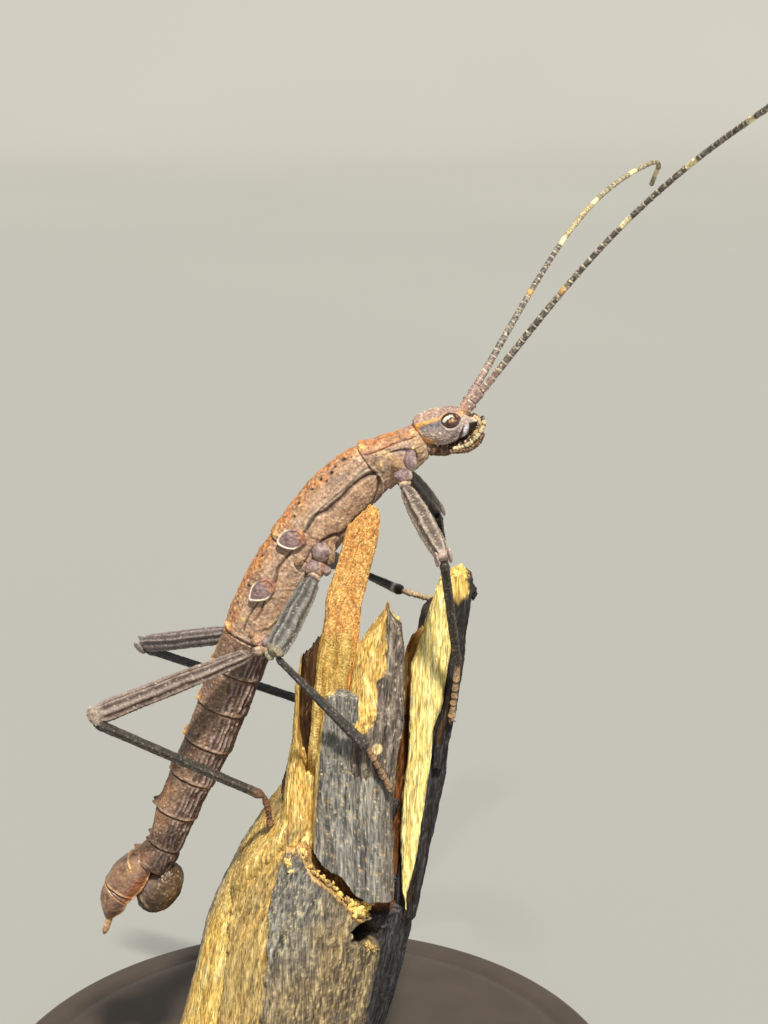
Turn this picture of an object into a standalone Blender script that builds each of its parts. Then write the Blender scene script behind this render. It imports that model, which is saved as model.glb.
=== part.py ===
"""A life-size male stick insect clinging to the splintered end of a broken branch, on a small display stand.

Metres, +Z up. The insect faces +X and its right side is towards -Y. The origin is the middle of the
stand's underside. The trunk is one curved centreline in the plane Y = 0, parted into its plates by thin cuts.
Every leg is solved from its hip, its foot and its two bone lengths, so left and right legs are equal.
"""

import math

import bmesh
import bpy
import numpy as np
from mathutils import Matrix, Vector

MM = 0.001
GAP = 0.06 * MM  # clear space between pieces that meet

# ---------------------------------------------------------------- driving dimensions (millimetres, degrees)
STAND_RADIUS, STAND_THICK, STAND_EDGE = 29.0, 5.0, 0.8
ROD_RADIUS = 1.8
PERCH_FOOT = 9.5  # height at which the branch is cut level

NECK = (10.19, 65.25)  # x and z of the trunk's front end
TRUNK_SIDES = 16
NECK_SIZE = (1.5, 1.65, 2.6)  # height above and below the centreline, width
# plate: length, slope below level, then at its middle and at its hind end the height above the centreline, the
# depth below it and the width
PLATES = {
    "prothorax": (4.83, 22, 1.35, 2.60, 3.7, 1.70, 3.15, 3.5),
    "mesothorax": (9.73, 52, 2.40, 3.05, 4.4, 2.75, 2.65, 4.9),
    "metathorax": (8.72, 62, 2.75, 2.80, 5.0, 2.45, 2.45, 4.5),
    "abdomen_2": (3.34, 68, 2.35, 2.30, 4.3, 2.40, 2.35, 4.45),
    "abdomen_3": (3.50, 69, 2.28, 2.25, 4.2, 2.35, 2.30, 4.35),
    "abdomen_4": (3.60, 68, 2.18, 2.18, 4.05, 2.25, 2.25, 4.2),
    "abdomen_5": (3.44, 65, 2.06, 2.08, 3.85, 2.13, 2.15, 4.0),
    "abdomen_6": (3.61, 66, 1.90, 1.92, 3.6, 1.98, 2.00, 3.75),
    "abdomen_7": (3.35, 70, 1.68, 1.68, 3.3, 1.55, 1.58, 3.2),
    "abdomen_8": (2.00, 60, 1.75, 1.80, 3.5, 1.95, 2.00, 3.8),
}
FLARE = 0.95  # front of a plate as a share of the hind edge before it
# hind end: x, z, slope, height, width at each section
TERGUM_9 = ((-14.3, 27.2, 60, 2.2, 3.3), (-15.4, 25.9, 55, 3.0, 3.9), (-16.4, 24.35, 48, 3.0, 3.7))
TERGUM_10 = ((-16.45, 24.25, 48, 2.95, 3.6), (-17.1, 23.1, 57, 2.3, 3.0), (-17.5, 21.8, 68, 0.9, 1.5))
POCULUM = dict(centre=(-12.95, 24.3), slope=52, length=4.9, height=3.6, width=3.9)
CERCUS = dict(root=(-17.35, 0.5, 22.2), tip=(-17.95, 0.42, 20.2), radius=0.28)

HEAD_BACK, HEAD_PITCH = (9.9, 65.8), 12  # x and z of the back of the head, and its upward tilt
# head: distance from its back, height above and below its axis, half width
HEAD_SECTIONS = (
    (0.0, 1.05, 0.95, 1.15), (0.8, 1.50, 1.33, 1.45), (1.8, 1.68, 1.38, 1.60), (2.8, 1.70, 1.28, 1.62),
    (3.6, 1.52, 1.05, 1.42), (4.3, 0.95, 0.80, 1.08), (4.75, 0.30, 0.45, 0.65),
)
EYE = dict(centre=(12.43, 1.28, 67.12), length=1.55, height=1.25, bulge=0.55)
MOUTH = ((12.7, 64.75, 0.35, 0.7), (13.5, 65.05, 0.6, 1.0), (14.3, 65.55, 0.72, 1.0), (14.95, 66.1, 0.5, 0.75))
PALP = ((12.9, 0.85, 64.55), (13.9, 1.1, 64.45), (14.85, 1.1, 65.1), (15.3, 0.9, 66.0), (15.25, 0.8, 66.65))
PALP_RADIUS = 0.26

ANTENNA_LENGTH, ANTENNA_POINTS = 44.5, 34
ANTENNA_ROOT = (13.5, 0.65, 67.5)
SCAPE_LENGTH, SCAPE_RADIUS, PEDICEL_RADIUS, FLAGELLUM_RADII = 1.3, 0.46, 0.38, (0.34, 0.25)
# heading of each antenna along its length t from 0 to 1: constant, t and t squared terms of its climb and of
# its turn (degrees), then where its tip begins to curl and how far it turns down and out there
ANTENNAE = {
    "antenna_right": ((51.5, 21.4, -75.5), (-9.6, 15.3, -120.2), (1.0, 0, 0)),
    "antenna_left": ((49.5, -57.3, 16.8), (42.5, 80.0, -88.0), (0.84, -80.3, 94.8)),
}

# legs: hip from the trunk (distance from the neck, out, below), bone lengths, then for each side the ankle,
# the toe and the turn of the knee about the line from hip to ankle (0 = straight outward)
LEGS = {
    "fore": dict(
        hip=(3.1, 2.6, 2.65), root=(2.3, 1.2, 1.1), coxa=0.9, femur=9.6, tibia=10.9,
        femur_size=(1.15, 1.6, 1.25, 1.55), tibia_size=(0.85, 0.8),
        right=((13.0, -7.0, 48.0), (12.6, -5.85, 42.9), -15), left=((12.3, -0.6, 53.0), (13.9, 1.6, 52.5), 5),
    ),
    "mid": dict(
        hip=(15.0, 3.0, 2.1), root=(13.6, 1.4, 1.9), coxa=1.15, femur=9.0, tibia=11.5,
        femur_size=(1.0, 2.3, 1.2, 1.6), tibia_size=(0.6, 1.0),
        right=((5.6, -8.6, 41.4), (7.5, -8.15, 37.6), 37), left=((8.5, 1.4, 51.65), (11.15, 2.95, 50.35), -15),
    ),
    "hind": dict(
        hip=(23.2, 2.6, 1.1), root=(22.2, 1.5, 0.9), coxa=0.85, femur=15.3, tibia=16.8,
        femur_size=(1.1, 1.5, 1.65, 1.3), tibia_size=(0.9, 0.85),
        right=((-3.15, -5.0, 35.5), (-2.75, -4.0, 32.6), 64), left=((0.2, 5.9, 39.7), (1.6, 7.25, 36.3), -57),
    ),
}
KNEE_DROP = 0.32  # how far below the femur's axis the tibia is hinged, as a share of the femur's end depth
TARSUS_RADIUS = 0.3

# wing stubs: distance from the neck, height above the side line, length, breadth, bulge
WING_STUBS = {"forewing_stub": (14.3, 0.95, 2.4, 1.35, 0.5), "hindwing_stub": (18.6, 0.8, 2.4, 1.3, 0.5)}

# branch: height, middle in x, half breadth, half depth of its round body
BRANCH = (
    (PERCH_FOOT, -2.9, 9.1, 8.4), (16.0, -1.1, 9.1, 8.3), (21.5, 0.2, 9.0, 8.3), (28.0, 2.2, 8.1, 8.2),
    (31.5, 3.75, 7.55, 8.1), (34.0, 5.0, 7.0, 8.0), (38.0, 6.0, 6.6, 7.9),
)
# round bark line that the splinters keep to
BARK = ((24.0, 1.5, 9.0, 8.3), (34.0, 4.2, 8.2, 8.2), (44.0, 6.6, 8.2, 8.1), (62.0, 10.5, 8.6, 7.4))
# splinters: foot and tip (x, z), breadth at foot and tip, drop of the left and right shoulder, near and far face
SPLINTERS = {
    "brown": ((1.7, 32.0), (1.4, 46.6), 7.4, 2.2, 1.0, 1.6, -3.0, 5.2),
    "orange": ((0.6, 36.0), (5.7, 60.4), 3.2, 2.8, 0.9, 0.9, -5.0, -3.2),
    "slab": ((4.6, 26.0), (3.6, 44.8), 6.8, 3.0, 0.3, 0.1, -8.0, -4.0),
    "centre": ((6.4, 30.0), (7.3, 51.6), 4.0, 2.3, 1.2, 1.1, -7.0, -2.0),
    "right": ((8.3, 28.0), (12.6, 52.0), 4.0, 3.4, 1.2, 0.2, -5.4, 2.2),
    "tip": ((10.8, 44.0), (13.3, 54.5), 3.6, 2.0, 1.0, 0.6, -5.2, -1.9),
}

COLOURS = {
    "trunk": (0.30, 0.15, 0.09), "abdomen": (0.22, 0.13, 0.10), "hind_end": (0.28, 0.11, 0.05),
    "head": (0.30, 0.22, 0.19), "eye": (0.12, 0.05, 0.03), "mouth": (0.55, 0.42, 0.20),
    "antenna": (0.14, 0.12, 0.11), "wing": (0.45, 0.38, 0.40), "femur": (0.28, 0.23, 0.21),
    "tibia": (0.07, 0.07, 0.07), "tarsus": (0.38, 0.26, 0.15), "wood": (0.62, 0.42, 0.14),
    "stand_base": (0.03, 0.03, 0.035), "stand_rod": (0.55, 0.55, 0.56),
}


# ---------------------------------------------------------------- scene helpers
def clear_scene():
    for obj in list(bpy.data.objects):
        bpy.data.objects.remove(obj, do_unlink=True)


def collection(name):
    new = bpy.data.collections.new(name)
    bpy.context.scene.collection.children.link(new)
    return new


def material(name, roughness=0.6, metallic=0.0):
    mat = bpy.data.materials.get(name) or bpy.data.materials.new(name)
    mat.use_nodes = True
    shader = mat.node_tree.nodes["Principled BSDF"]
    shader.inputs["Base Color"].default_value = (*COLOURS[name], 1.0)
    shader.inputs["Roughness"].default_value = roughness
    shader.inputs["Metallic"].default_value = metallic
    return mat


def place(name, bm, mat):
    """Closes a bmesh into a smooth-shaded object of the model."""
    bmesh.ops.recalc_face_normals(bm, faces=bm.faces)
    mesh = bpy.data.meshes.new(name)
    bm.to_mesh(mesh)
    bm.free()
    mesh.materials.append(mat)
    mesh.shade_smooth()
    mesh.set_sharp_from_angle(angle=math.radians(40))
    obj = bpy.data.objects.new(name, mesh)
    MODEL.objects.link(obj)
    return obj


def apply_modifiers(obj):
    """Replaces the object's mesh with what its modifiers make of it."""
    evaluated = obj.evaluated_get(bpy.context.evaluated_depsgraph_get())
    mesh = bpy.data.meshes.new_from_object(evaluated)
    obj.modifiers.clear()
    obj.data = mesh


def cutter_of(obj, grow):
    """A slightly larger copy of a piece, used to cut its neighbours back from it."""
    copy = bpy.data.objects.new("cut_" + obj.name, obj.data.copy())
    CUTTERS.objects.link(copy)
    copy.hide_render = True
    copy.display_type = "WIRE"
    bm = bmesh.new()
    bm.from_mesh(copy.data)
    for vert in bm.verts:
        vert.co += vert.normal * grow
    bm.to_mesh(copy.data)
    bm.free()
    return copy


def combine(obj, other, operation):
    boolean = obj.modifiers.new("boolean", "BOOLEAN")
    boolean.operation = operation
    boolean.solver = "EXACT"
    boolean.object = other
    bpy.context.view_layer.update()
    apply_modifiers(obj)
    keep_largest(obj)


def keep_largest(obj):
    """Drops crumbs that a cut leaves behind."""
    bm = bmesh.new()
    bm.from_mesh(obj.data)
    left, islands = set(bm.verts), []
    while left:
        island, edge_front = set(), [left.pop()]
        while edge_front:
            vert = edge_front.pop()
            island.add(vert)
            for edge in vert.link_edges:
                other = edge.other_vert(vert)
                if other in left:
                    left.discard(other)
                    edge_front.append(other)
        islands.append(island)
    islands.sort(key=len)
    for island in islands[:-1]:
        bmesh.ops.delete(bm, geom=list(island), context="VERTS")
    bm.to_mesh(obj.data)
    bm.free()


def cut_by(obj, *others, gap=GAP * 1.5):
    for other in others:
        combine(obj, cutter_of(other, gap), "DIFFERENCE")


# ---------------------------------------------------------------- shapes
def ring(centre, side, up, half_side, above, below, sides, power=2.2):
    """Points of a superellipse with its own height above and below the middle."""
    points = []
    for k in range(sides):
        angle = 2 * math.pi * k / sides
        c, s = math.cos(angle), math.sin(angle)
        across = math.copysign(abs(c) ** (2 / power), c) * half_side
        rise = math.copysign(abs(s) ** (2 / power), s) * (above if s > 0 else below)
        points.append((Vector(centre) + Vector(side) * across + Vector(up) * rise) * MM)
    return points


def loft(name, rings, mat):
    """A closed skin over rings that all have the same number of points."""
    bm = bmesh.new()
    rows = [[bm.verts.new(point) for point in points] for points in rings]
    count = len(rows[0])
    for near, far in zip(rows, rows[1:]):
        for k in range(count):
            bm.faces.new((near[k], near[(k + 1) % count], far[(k + 1) % count], far[k]))
    bm.faces.new(rows[0])
    bm.faces.new(rows[-1])
    return place(name, bm, mat)


def level_section(x, z, slope, half_width, above, below, sides=TRUNK_SIDES, power=2.2):
    """A section across the plane Y = 0 of a piece that runs back and down at this slope."""
    tilt = math.radians(slope)
    up = (-math.sin(tilt), 0.0, math.cos(tilt))
    return ring((x, 0.0, z), (0, 1, 0), up, half_width, above, below, sides, power)


def frames_along(points, plane_normal):
    """Side and up directions at each point of a path, square to the path."""
    points = [Vector(p) for p in points]
    frames = []
    for k, point in enumerate(points):
        ahead = points[min(k + 1, len(points) - 1)] - points[max(k - 1, 0)]
        ahead.normalize()
        side = plane_normal - ahead * plane_normal.dot(ahead)
        side.normalize()
        frames.append((point, side, side.cross(ahead)))
    return frames


def limb(name, points, half_depths, half_widths, plane_normal, sides, mat, power=2.0):
    """A tapering limb: half depths lie in the limb's bending plane, half widths across it."""
    rings = []
    for (point, side, up), depth, width in zip(frames_along(points, plane_normal), half_depths, half_widths):
        rings.append(ring(point, side, up, width, depth, depth, sides, power))
    return loft(name, rings, mat)


def ellipsoid(name, centre, half_sizes, pitch, mat, segments=16, rings=10):
    """A sphere scaled and tilted in the plane Y = 0; a positive pitch lifts its +X end."""
    bm = bmesh.new()
    bmesh.ops.create_uvsphere(bm, u_segments=segments, v_segments=rings, radius=MM)
    bmesh.ops.scale(bm, vec=Vector(half_sizes), verts=bm.verts)
    turn = Matrix.Rotation(math.radians(-pitch), 4, "Y")
    bmesh.ops.transform(bm, matrix=Matrix.Translation(Vector(centre) * MM) @ turn, verts=bm.verts)
    return place(name, bm, mat)


def tube(name, points, radii, mat, resolution=1):
    """A round tube along a path, with its own radius at each point and closed ends."""
    curve = bpy.data.curves.new(name, "CURVE")
    curve.dimensions = "3D"
    curve.bevel_depth = MM
    curve.bevel_resolution = resolution
    curve.use_fill_caps = True
    spline = curve.splines.new("POLY")
    spline.points.add(len(points) - 1)
    for target, point, radius in zip(spline.points, points, radii):
        target.co = (*(Vector(point) * MM), 1.0)
        target.radius = radius
    guide = bpy.data.objects.new(name + "_path", curve)
    CUTTERS.objects.link(guide)
    bpy.context.view_layer.update()
    mesh = bpy.data.meshes.new_from_object(guide.evaluated_get(bpy.context.evaluated_depsgraph_get()))
    bm = bmesh.new()
    bm.from_mesh(mesh)
    bmesh.ops.remove_doubles(bm, verts=bm.verts, dist=1e-6)
    bpy.data.objects.remove(guide, do_unlink=True)
    return place(name, bm, mat)


# ---------------------------------------------------------------- the trunk
class Spine:
    """The trunk's centreline: joints from lengths and slopes, joined by one smooth curve."""

    def __init__(self):
        joints, ends = [Vector((NECK[0], NECK[1]))], [0.0]
        for length, slope, *_ in PLATES.values():
            tilt = math.radians(slope)
            joints.append(joints[-1] - Vector((math.cos(tilt), math.sin(tilt))) * length)
            ends.append(ends[-1] + length)
        self.ends = ends
        slopes = [row[1] for row in PLATES.values()]
        self.slopes = [slopes[0]] + [(a + b) / 2 for a, b in zip(slopes, slopes[1:])] + [slopes[-1]]
        self.joints = joints

    def at(self, distance):
        """Centre (x, z) and slope at a distance from the neck, by a cubic between two joints."""
        k = min(max(int(np.searchsorted(self.ends, distance) - 1), 0), len(self.joints) - 2)
        length = self.ends[k + 1] - self.ends[k]
        t = (distance - self.ends[k]) / length
        start, stop = self.joints[k], self.joints[k + 1]
        leave, arrive = (
            -Vector((math.cos(math.radians(a)), math.sin(math.radians(a)))) * length
            for a in (self.slopes[k], self.slopes[k + 1])
        )
        h = (2 * t**3 - 3 * t**2 + 1, t**3 - 2 * t**2 + t, -2 * t**3 + 3 * t**2, t**3 - t**2)
        point = start * h[0] + leave * h[1] + stop * h[2] + arrive * h[3]
        return point, self.slopes[k] + (self.slopes[k + 1] - self.slopes[k]) * t

    def offset(self, distance, out, below):
        """A point beside the centreline: out along Y and below it, square to it."""
        point, slope = self.at(distance)
        tilt = math.radians(slope)
        return Vector((point.x + math.sin(tilt) * below, out, point.y - math.cos(tilt) * below))


def make_trunk(spine):
    plates, start = {}, 0.0
    front = NECK_SIZE
    for name, (length, _, *sizes) in PLATES.items():
        middle, hind = sizes[:3], sizes[3:]
        rings = []
        rows = 7 if length > 6 else 5
        for row in range(rows):
            t = row / (rows - 1)
            # quadratic through the front, middle and hind sizes
            share = ((1 - t) * (1 - 2 * t), 4 * t * (1 - t), t * (2 * t - 1))
            above, below, wide = (a * share[0] + b * share[1] + c * share[2] for a, b, c in zip(front, middle, hind))
            distance = start + GAP / MM / 2 + (length - GAP / MM) * t
            point, slope = spine.at(distance)
            rings.append(level_section(point.x, point.y, slope, wide / 2, above, below))
        kind = "abdomen" if name.startswith("abdomen") else "trunk"
        plates[name] = loft(name, rings, material(kind))
        start += length
        front = [size * FLARE for size in hind]
    return plates


def make_hind_end(plates):
    glossy = material("hind_end", 0.35)
    terga = []
    for name, sections in (("tergum_9", TERGUM_9), ("tergum_10", TERGUM_10)):
        rings = [level_section(x, z, slope, w / 2, h / 2, h / 2) for x, z, slope, h, w in sections]
        terga.append(loft(name, rings, glossy))
    cut_by(terga[0], plates["abdomen_8"])
    cut_by(terga[1], terga[0])
    x, z = POCULUM["centre"]
    halves = (POCULUM["length"] / 2, POCULUM["width"] / 2, POCULUM["height"] / 2)
    poculum = ellipsoid("poculum", (x, 0, z), halves, POCULUM["slope"], glossy)
    cut_by(poculum, plates["abdomen_8"], *terga)
    for side, sign in (("right", -1), ("left", 1)):
        root, tip = (Vector((p[0], p[1] * sign, p[2])) for p in (CERCUS["root"], CERCUS["tip"]))
        points = [root.lerp(tip, t) for t in (0, 0.5, 0.9, 1)]
        radii = [CERCUS["radius"] * r for r in (1, 1.05, 0.95, 0.7)]
        cercus = tube("cercus_" + side, points, radii, glossy)
        cut_by(cercus, terga[1])


# ---------------------------------------------------------------- the head
def make_head(plates):
    pitch = math.radians(HEAD_PITCH)
    rings = []
    for along, above, below, half_width in HEAD_SECTIONS:
        x = HEAD_BACK[0] + math.cos(pitch) * along
        z = HEAD_BACK[1] + math.sin(pitch) * along
        rings.append(level_section(x, z, HEAD_PITCH, half_width, above, below, power=2.3))
    # the head is lofted backwards to forwards, so its slope is the same sense as its pitch
    head = loft("head", rings, material("head"))
    cut_by(head, plates["prothorax"])
    rings = [level_section(x, z, 35, half_wide, half_high, half_high, 12) for x, z, half_high, half_wide in MOUTH]
    mouth = loft("mouthparts", rings, material("mouth"))
    cut_by(mouth, head)
    for side, sign in (("right", -1), ("left", 1)):
        x, y, z = EYE["centre"]
        halves = (EYE["length"] / 2, EYE["bulge"], EYE["height"] / 2)
        eye = ellipsoid("eye_" + side, (x, y * sign, z), halves, HEAD_PITCH, material("eye", 0.2), 14, 8)
        cut_by(eye, head)
        points = [Vector((p[0], p[1] * sign, p[2])) for p in PALP]
        palp = tube("palp_" + side, points, [PALP_RADIUS] * 4 + [PALP_RADIUS * 0.8], material("mouth"))
        cut_by(palp, mouth, head)
    return head


def antenna_path(climb_terms, turn_terms, curl, sign):
    """Steps of equal length whose climb and turn change smoothly along the antenna."""
    point = Vector((ANTENNA_ROOT[0], ANTENNA_ROOT[1] * sign, ANTENNA_ROOT[2]))
    points = [point.copy()]
    steps = ANTENNA_POINTS - 1
    for k in range(steps):
        t = (k + 0.5) / steps
        climb = climb_terms[0] + climb_terms[1] * t + climb_terms[2] * t * t
        turn = turn_terms[0] + turn_terms[1] * t + turn_terms[2] * t * t
        begin, down, out = curl
        if t > begin:
            share = ((t - begin) / (1 - begin)) ** 1.5
            climb, turn = climb + down * share, turn + out * share
        climb, turn = math.radians(climb), math.radians(turn)
        heading = Vector((math.cos(climb) * math.cos(turn), math.cos(climb) * math.sin(turn), math.sin(climb)))
        point = point + heading * (ANTENNA_LENGTH / steps)
        points.append(point.copy())
    return points


def make_antennae(head):
    for name, (climb, turn, curl) in ANTENNAE.items():
        points = antenna_path(climb, turn, curl, -1 if name.endswith("right") else 1)
        radii = []
        for k in range(ANTENNA_POINTS):
            along = ANTENNA_LENGTH * k / (ANTENNA_POINTS - 1)
            if along < SCAPE_LENGTH:
                radii.append(SCAPE_RADIUS)
            elif along < SCAPE_LENGTH * 2:
                radii.append(PEDICEL_RADIUS)
            else:
                t = along / ANTENNA_LENGTH
                radii.append(FLAGELLUM_RADII[0] + (FLAGELLUM_RADII[1] - FLAGELLUM_RADII[0]) * min(1, 2.5 * t))
        antenna = tube(name, points, radii, material("antenna"))
        cut_by(antenna, head)


# ---------------------------------------------------------------- legs
def knee_of(hip, ankle, femur, tibia, turn, sign):
    """The knee on the circle that both bone lengths allow; turn 0 puts it straight outward."""
    line = ankle - hip
    reach = line.length
    line.normalize()
    along = (reach**2 + femur**2 - tibia**2) / (2 * reach)
    radius = math.sqrt(max(femur**2 - along**2, 0.0))
    outward = Vector((0, sign, 0))
    outward = (outward - line * outward.dot(line)).normalized()
    lifted = line.cross(outward)
    angle = math.radians(turn)
    return hip + line * along + (outward * math.cos(angle) + lifted * math.sin(angle)) * radius


def make_leg(spine, pair, side, plates):
    sign = -1 if side == "right" else 1
    spec = LEGS[pair]
    ankle, toe, turn = Vector(spec[side][0]), Vector(spec[side][1]), spec[side][2]
    hip = spine.offset(spec["hip"][0], spec["hip"][1] * sign, spec["hip"][2])
    root = spine.offset(spec["root"][0], spec["root"][1] * sign, spec["root"][2])
    knee = knee_of(hip, ankle, spec["femur"], spec["tibia"], turn, sign)
    normal = (knee - hip).cross(ankle - knee).normalized()
    tag = f"{pair}_{side}_"
    clear = GAP / MM

    # coxa: a short barrel out of the thorax
    out = (hip - root).normalized()
    points = [root, root.lerp(hip, 0.5), root.lerp(hip, 0.85), hip - out * clear]
    radii = [spec["coxa"] * share for share in (0.95, 1.05, 0.9, 0.62)]
    coxa = limb(tag + "coxa", points, radii, radii, normal, 10, material("femur"))
    cut_by(coxa, *plates)

    # femur: narrow at the hip, deepest past its middle, with a squarish section
    base, belly, end, broad = spec["femur_size"]
    along = (0.0, 0.08, 0.2, 0.45, 0.75, 0.93, 1.0)
    depths = (base * 0.9, base, (base + belly) / 2, belly, (belly + end) / 2, end, end * 0.8)
    start, stop = hip + (knee - hip).normalized() * clear, knee - (knee - hip).normalized() * clear
    points = [start.lerp(stop, t) for t in along]
    widths = [broad / 2 * (0.55 + 0.45 * (d - base) / (belly - base)) for d in depths]
    femur = limb(tag + "femur", points, [d / 2 for d in depths], widths, normal, 8, material("femur"), 2.6)
    cut_by(femur, coxa)

    # tibia: a slim rod with a small knob at the knee
    near, far = spec["tibia_size"]
    thigh = (knee - hip).normalized()
    inward = ((ankle - knee) - thigh * (ankle - knee).dot(thigh)).normalized()
    hinge = knee + inward * end * KNEE_DROP
    start, stop = hinge + (ankle - hinge).normalized() * clear, ankle - (ankle - hinge).normalized() * clear
    depths = (near * 1.0, near * 1.1, near * 0.95, (near + far) / 2, far * 1.05, far * 0.9)
    points = [start.lerp(stop, t) for t in (0, 0.05, 0.14, 0.55, 0.93, 1.0)]
    halves = [d / 2 for d in depths]
    tibia = limb(tag + "tibia", points, halves, [h * 0.9 for h in halves], normal, 8, material("tibia"))
    cut_by(tibia, femur)

    # tarsus: five joints and a broad last one, bent down onto the wood
    middle = ankle.lerp(toe, 0.5) + (ankle - knee).normalized() * 0.25
    swell = (0.95, 1.05, 0.85, 1.05, 0.85, 1.05, 0.85, 1.0, 0.85, 1.35, 1.2, 0.8)
    points = []
    for k in range(len(swell)):
        t = k / (len(swell) - 1)
        points.append(ankle * (1 - t) ** 2 + middle * 2 * t * (1 - t) + toe * t**2)
    radii = [TARSUS_RADIUS * s for s in swell]
    tarsus = limb(tag + "tarsus", points, radii, radii, normal, 6, material("tarsus"))
    cut_by(tarsus, tibia)


# ---------------------------------------------------------------- wing stubs
def make_wing_stubs(spine, plates):
    for name, (distance, height, length, breadth, bulge) in WING_STUBS.items():
        for side, sign in (("right", -1), ("left", 1)):
            _, slope = spine.at(distance)
            where = spine.offset(distance, 2.28 * sign, -height)
            halves = (length / 2, bulge, breadth / 2)
            stub = ellipsoid(f"{name}_{side}", where, halves, slope, material("wing"), 12, 6)
            cut_by(stub, *plates)


# ---------------------------------------------------------------- the perch and its stand
def splinter(name, foot, tip, foot_wide, tip_wide, left_drop, right_drop, near, far):
    """A board with a leaning outline whose tip falls away to two shoulders."""
    lean = (tip[0] - foot[0]) / (tip[1] - foot[1])
    rise = tip[1] - foot[1]

    def edge(t, sign):
        wide = foot_wide + (tip_wide - foot_wide) * t
        ripple = 0.12 * math.sin(7 * t + 2 * sign)
        drop = left_drop if sign < 0 else right_drop
        z = foot[1] + (rise - drop) * t
        return foot[0] + lean * (z - foot[1]) + sign * wide / 2 + ripple, z

    left = [edge(t, -1) for t in (0, 0.35, 0.7, 1)]
    right = [edge(t, 1) for t in (1, 0.7, 0.35, 0)]
    outline = left + [(tip[0] - tip_wide * 0.2, tip[1] - left_drop * 0.2), (tip[0] + tip_wide * 0.15, tip[1])] + right
    curve = bpy.data.curves.new(name, "CURVE")
    curve.dimensions = "2D"
    curve.fill_mode = "BOTH"
    curve.extrude = (far - near) / 2 * MM
    spline = curve.splines.new("POLY")
    spline.points.add(len(outline) - 1)
    spline.use_cyclic_u = True
    for target, (x, z) in zip(spline.points, outline):
        target.co = (x * MM, z * MM, 0.0, 1.0)
    guide = bpy.data.objects.new(name, curve)
    CUTTERS.objects.link(guide)
    guide.rotation_euler = (math.radians(90), 0, 0)
    guide.location = (0, (near + far) / 2 * MM, 0)
    bpy.context.view_layer.update()
    mesh = bpy.data.meshes.new_from_object(guide.evaluated_get(bpy.context.evaluated_depsgraph_get()))
    mesh.transform(guide.matrix_world)
    bm = bmesh.new()
    bm.from_mesh(mesh)
    bmesh.ops.remove_doubles(bm, verts=bm.verts, dist=1e-6)
    bmesh.ops.recalc_face_normals(bm, faces=bm.faces)
    bm.to_mesh(mesh)
    bm.free()
    bpy.data.objects.remove(guide, do_unlink=True)
    board = bpy.data.objects.new("cut_" + name, mesh)
    CUTTERS.objects.link(board)
    board.hide_render = True
    board.display_type = "WIRE"
    return board


def branch_rings(sections, sides=20):
    rings = []
    for z, x, half_wide, half_deep in sections:
        rings.append(ring((x, 0, z), (1, 0, 0), (0, 1, 0), half_wide, half_deep, half_deep, sides, 2.15))
    return rings


def make_perch():
    perch = loft("perch", branch_rings(BRANCH), material("wood", 0.8))
    # boards are rounded by the branch they split from
    bark = loft("cut_bark", branch_rings(BARK), material("wood", 0.8))
    MODEL.objects.unlink(bark)
    CUTTERS.objects.link(bark)
    bark.hide_render = True
    bark.display_type = "WIRE"
    for name, spec in SPLINTERS.items():
        board = splinter(name, *spec)
        combine(board, bark, "INTERSECT")
        combine(perch, board, "UNION")
    return perch


def make_stand():
    bm = bmesh.new()
    bmesh.ops.create_cone(
        bm, cap_ends=True, segments=48, radius1=STAND_RADIUS * MM, radius2=STAND_RADIUS * MM, depth=STAND_THICK * MM
    )
    bmesh.ops.translate(bm, vec=(0, 0, STAND_THICK * MM / 2), verts=bm.verts)
    base = place("stand_base", bm, material("stand_base", 0.35))
    bevel = base.modifiers.new("rounded rim", "BEVEL")
    bevel.width = STAND_EDGE * MM
    bevel.segments = 2
    bevel.limit_method = "ANGLE"
    bevel.angle_limit = math.radians(60)
    low, high = STAND_THICK * MM + GAP, PERCH_FOOT * MM - GAP
    bm = bmesh.new()
    bmesh.ops.create_cone(
        bm, cap_ends=True, segments=20, radius1=ROD_RADIUS * MM, radius2=ROD_RADIUS * MM, depth=high - low
    )
    bmesh.ops.translate(bm, vec=(0, 0, (low + high) / 2), verts=bm.verts)
    place("stand_rod", bm, material("stand_rod", 0.3, 1.0))


clear_scene()
MODEL = collection("stick_insect")
CUTTERS = collection("cutters")
centreline = Spine()
body = make_trunk(centreline)
make_hind_end(body)
make_antennae(make_head(body))
make_wing_stubs(centreline, [body["mesothorax"], body["metathorax"]])
LEG_PLATES = {"fore": ("prothorax",), "mid": ("mesothorax", "metathorax"), "hind": ("metathorax", "abdomen_2")}
for pair_name in LEGS:
    for side_name in ("right", "left"):
        make_leg(centreline, pair_name, side_name, [body[name] for name in LEG_PLATES[pair_name]])
make_perch()
make_stand()
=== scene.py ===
import math

import bpy
import numpy as np
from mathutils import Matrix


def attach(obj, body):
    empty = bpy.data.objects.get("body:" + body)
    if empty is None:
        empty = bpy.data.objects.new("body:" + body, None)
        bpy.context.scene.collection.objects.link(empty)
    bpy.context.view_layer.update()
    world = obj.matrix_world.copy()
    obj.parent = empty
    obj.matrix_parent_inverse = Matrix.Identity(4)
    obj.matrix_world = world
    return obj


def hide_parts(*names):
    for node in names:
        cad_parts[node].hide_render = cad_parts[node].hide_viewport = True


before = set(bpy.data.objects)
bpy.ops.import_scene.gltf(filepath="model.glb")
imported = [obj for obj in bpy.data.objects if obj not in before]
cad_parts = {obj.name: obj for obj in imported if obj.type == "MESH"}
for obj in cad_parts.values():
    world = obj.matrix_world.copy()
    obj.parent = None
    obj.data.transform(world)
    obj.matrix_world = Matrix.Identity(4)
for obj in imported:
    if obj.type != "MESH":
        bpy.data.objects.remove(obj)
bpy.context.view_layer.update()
mm = 0.001  # every size below is in millimetres unless it says otherwise


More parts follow.
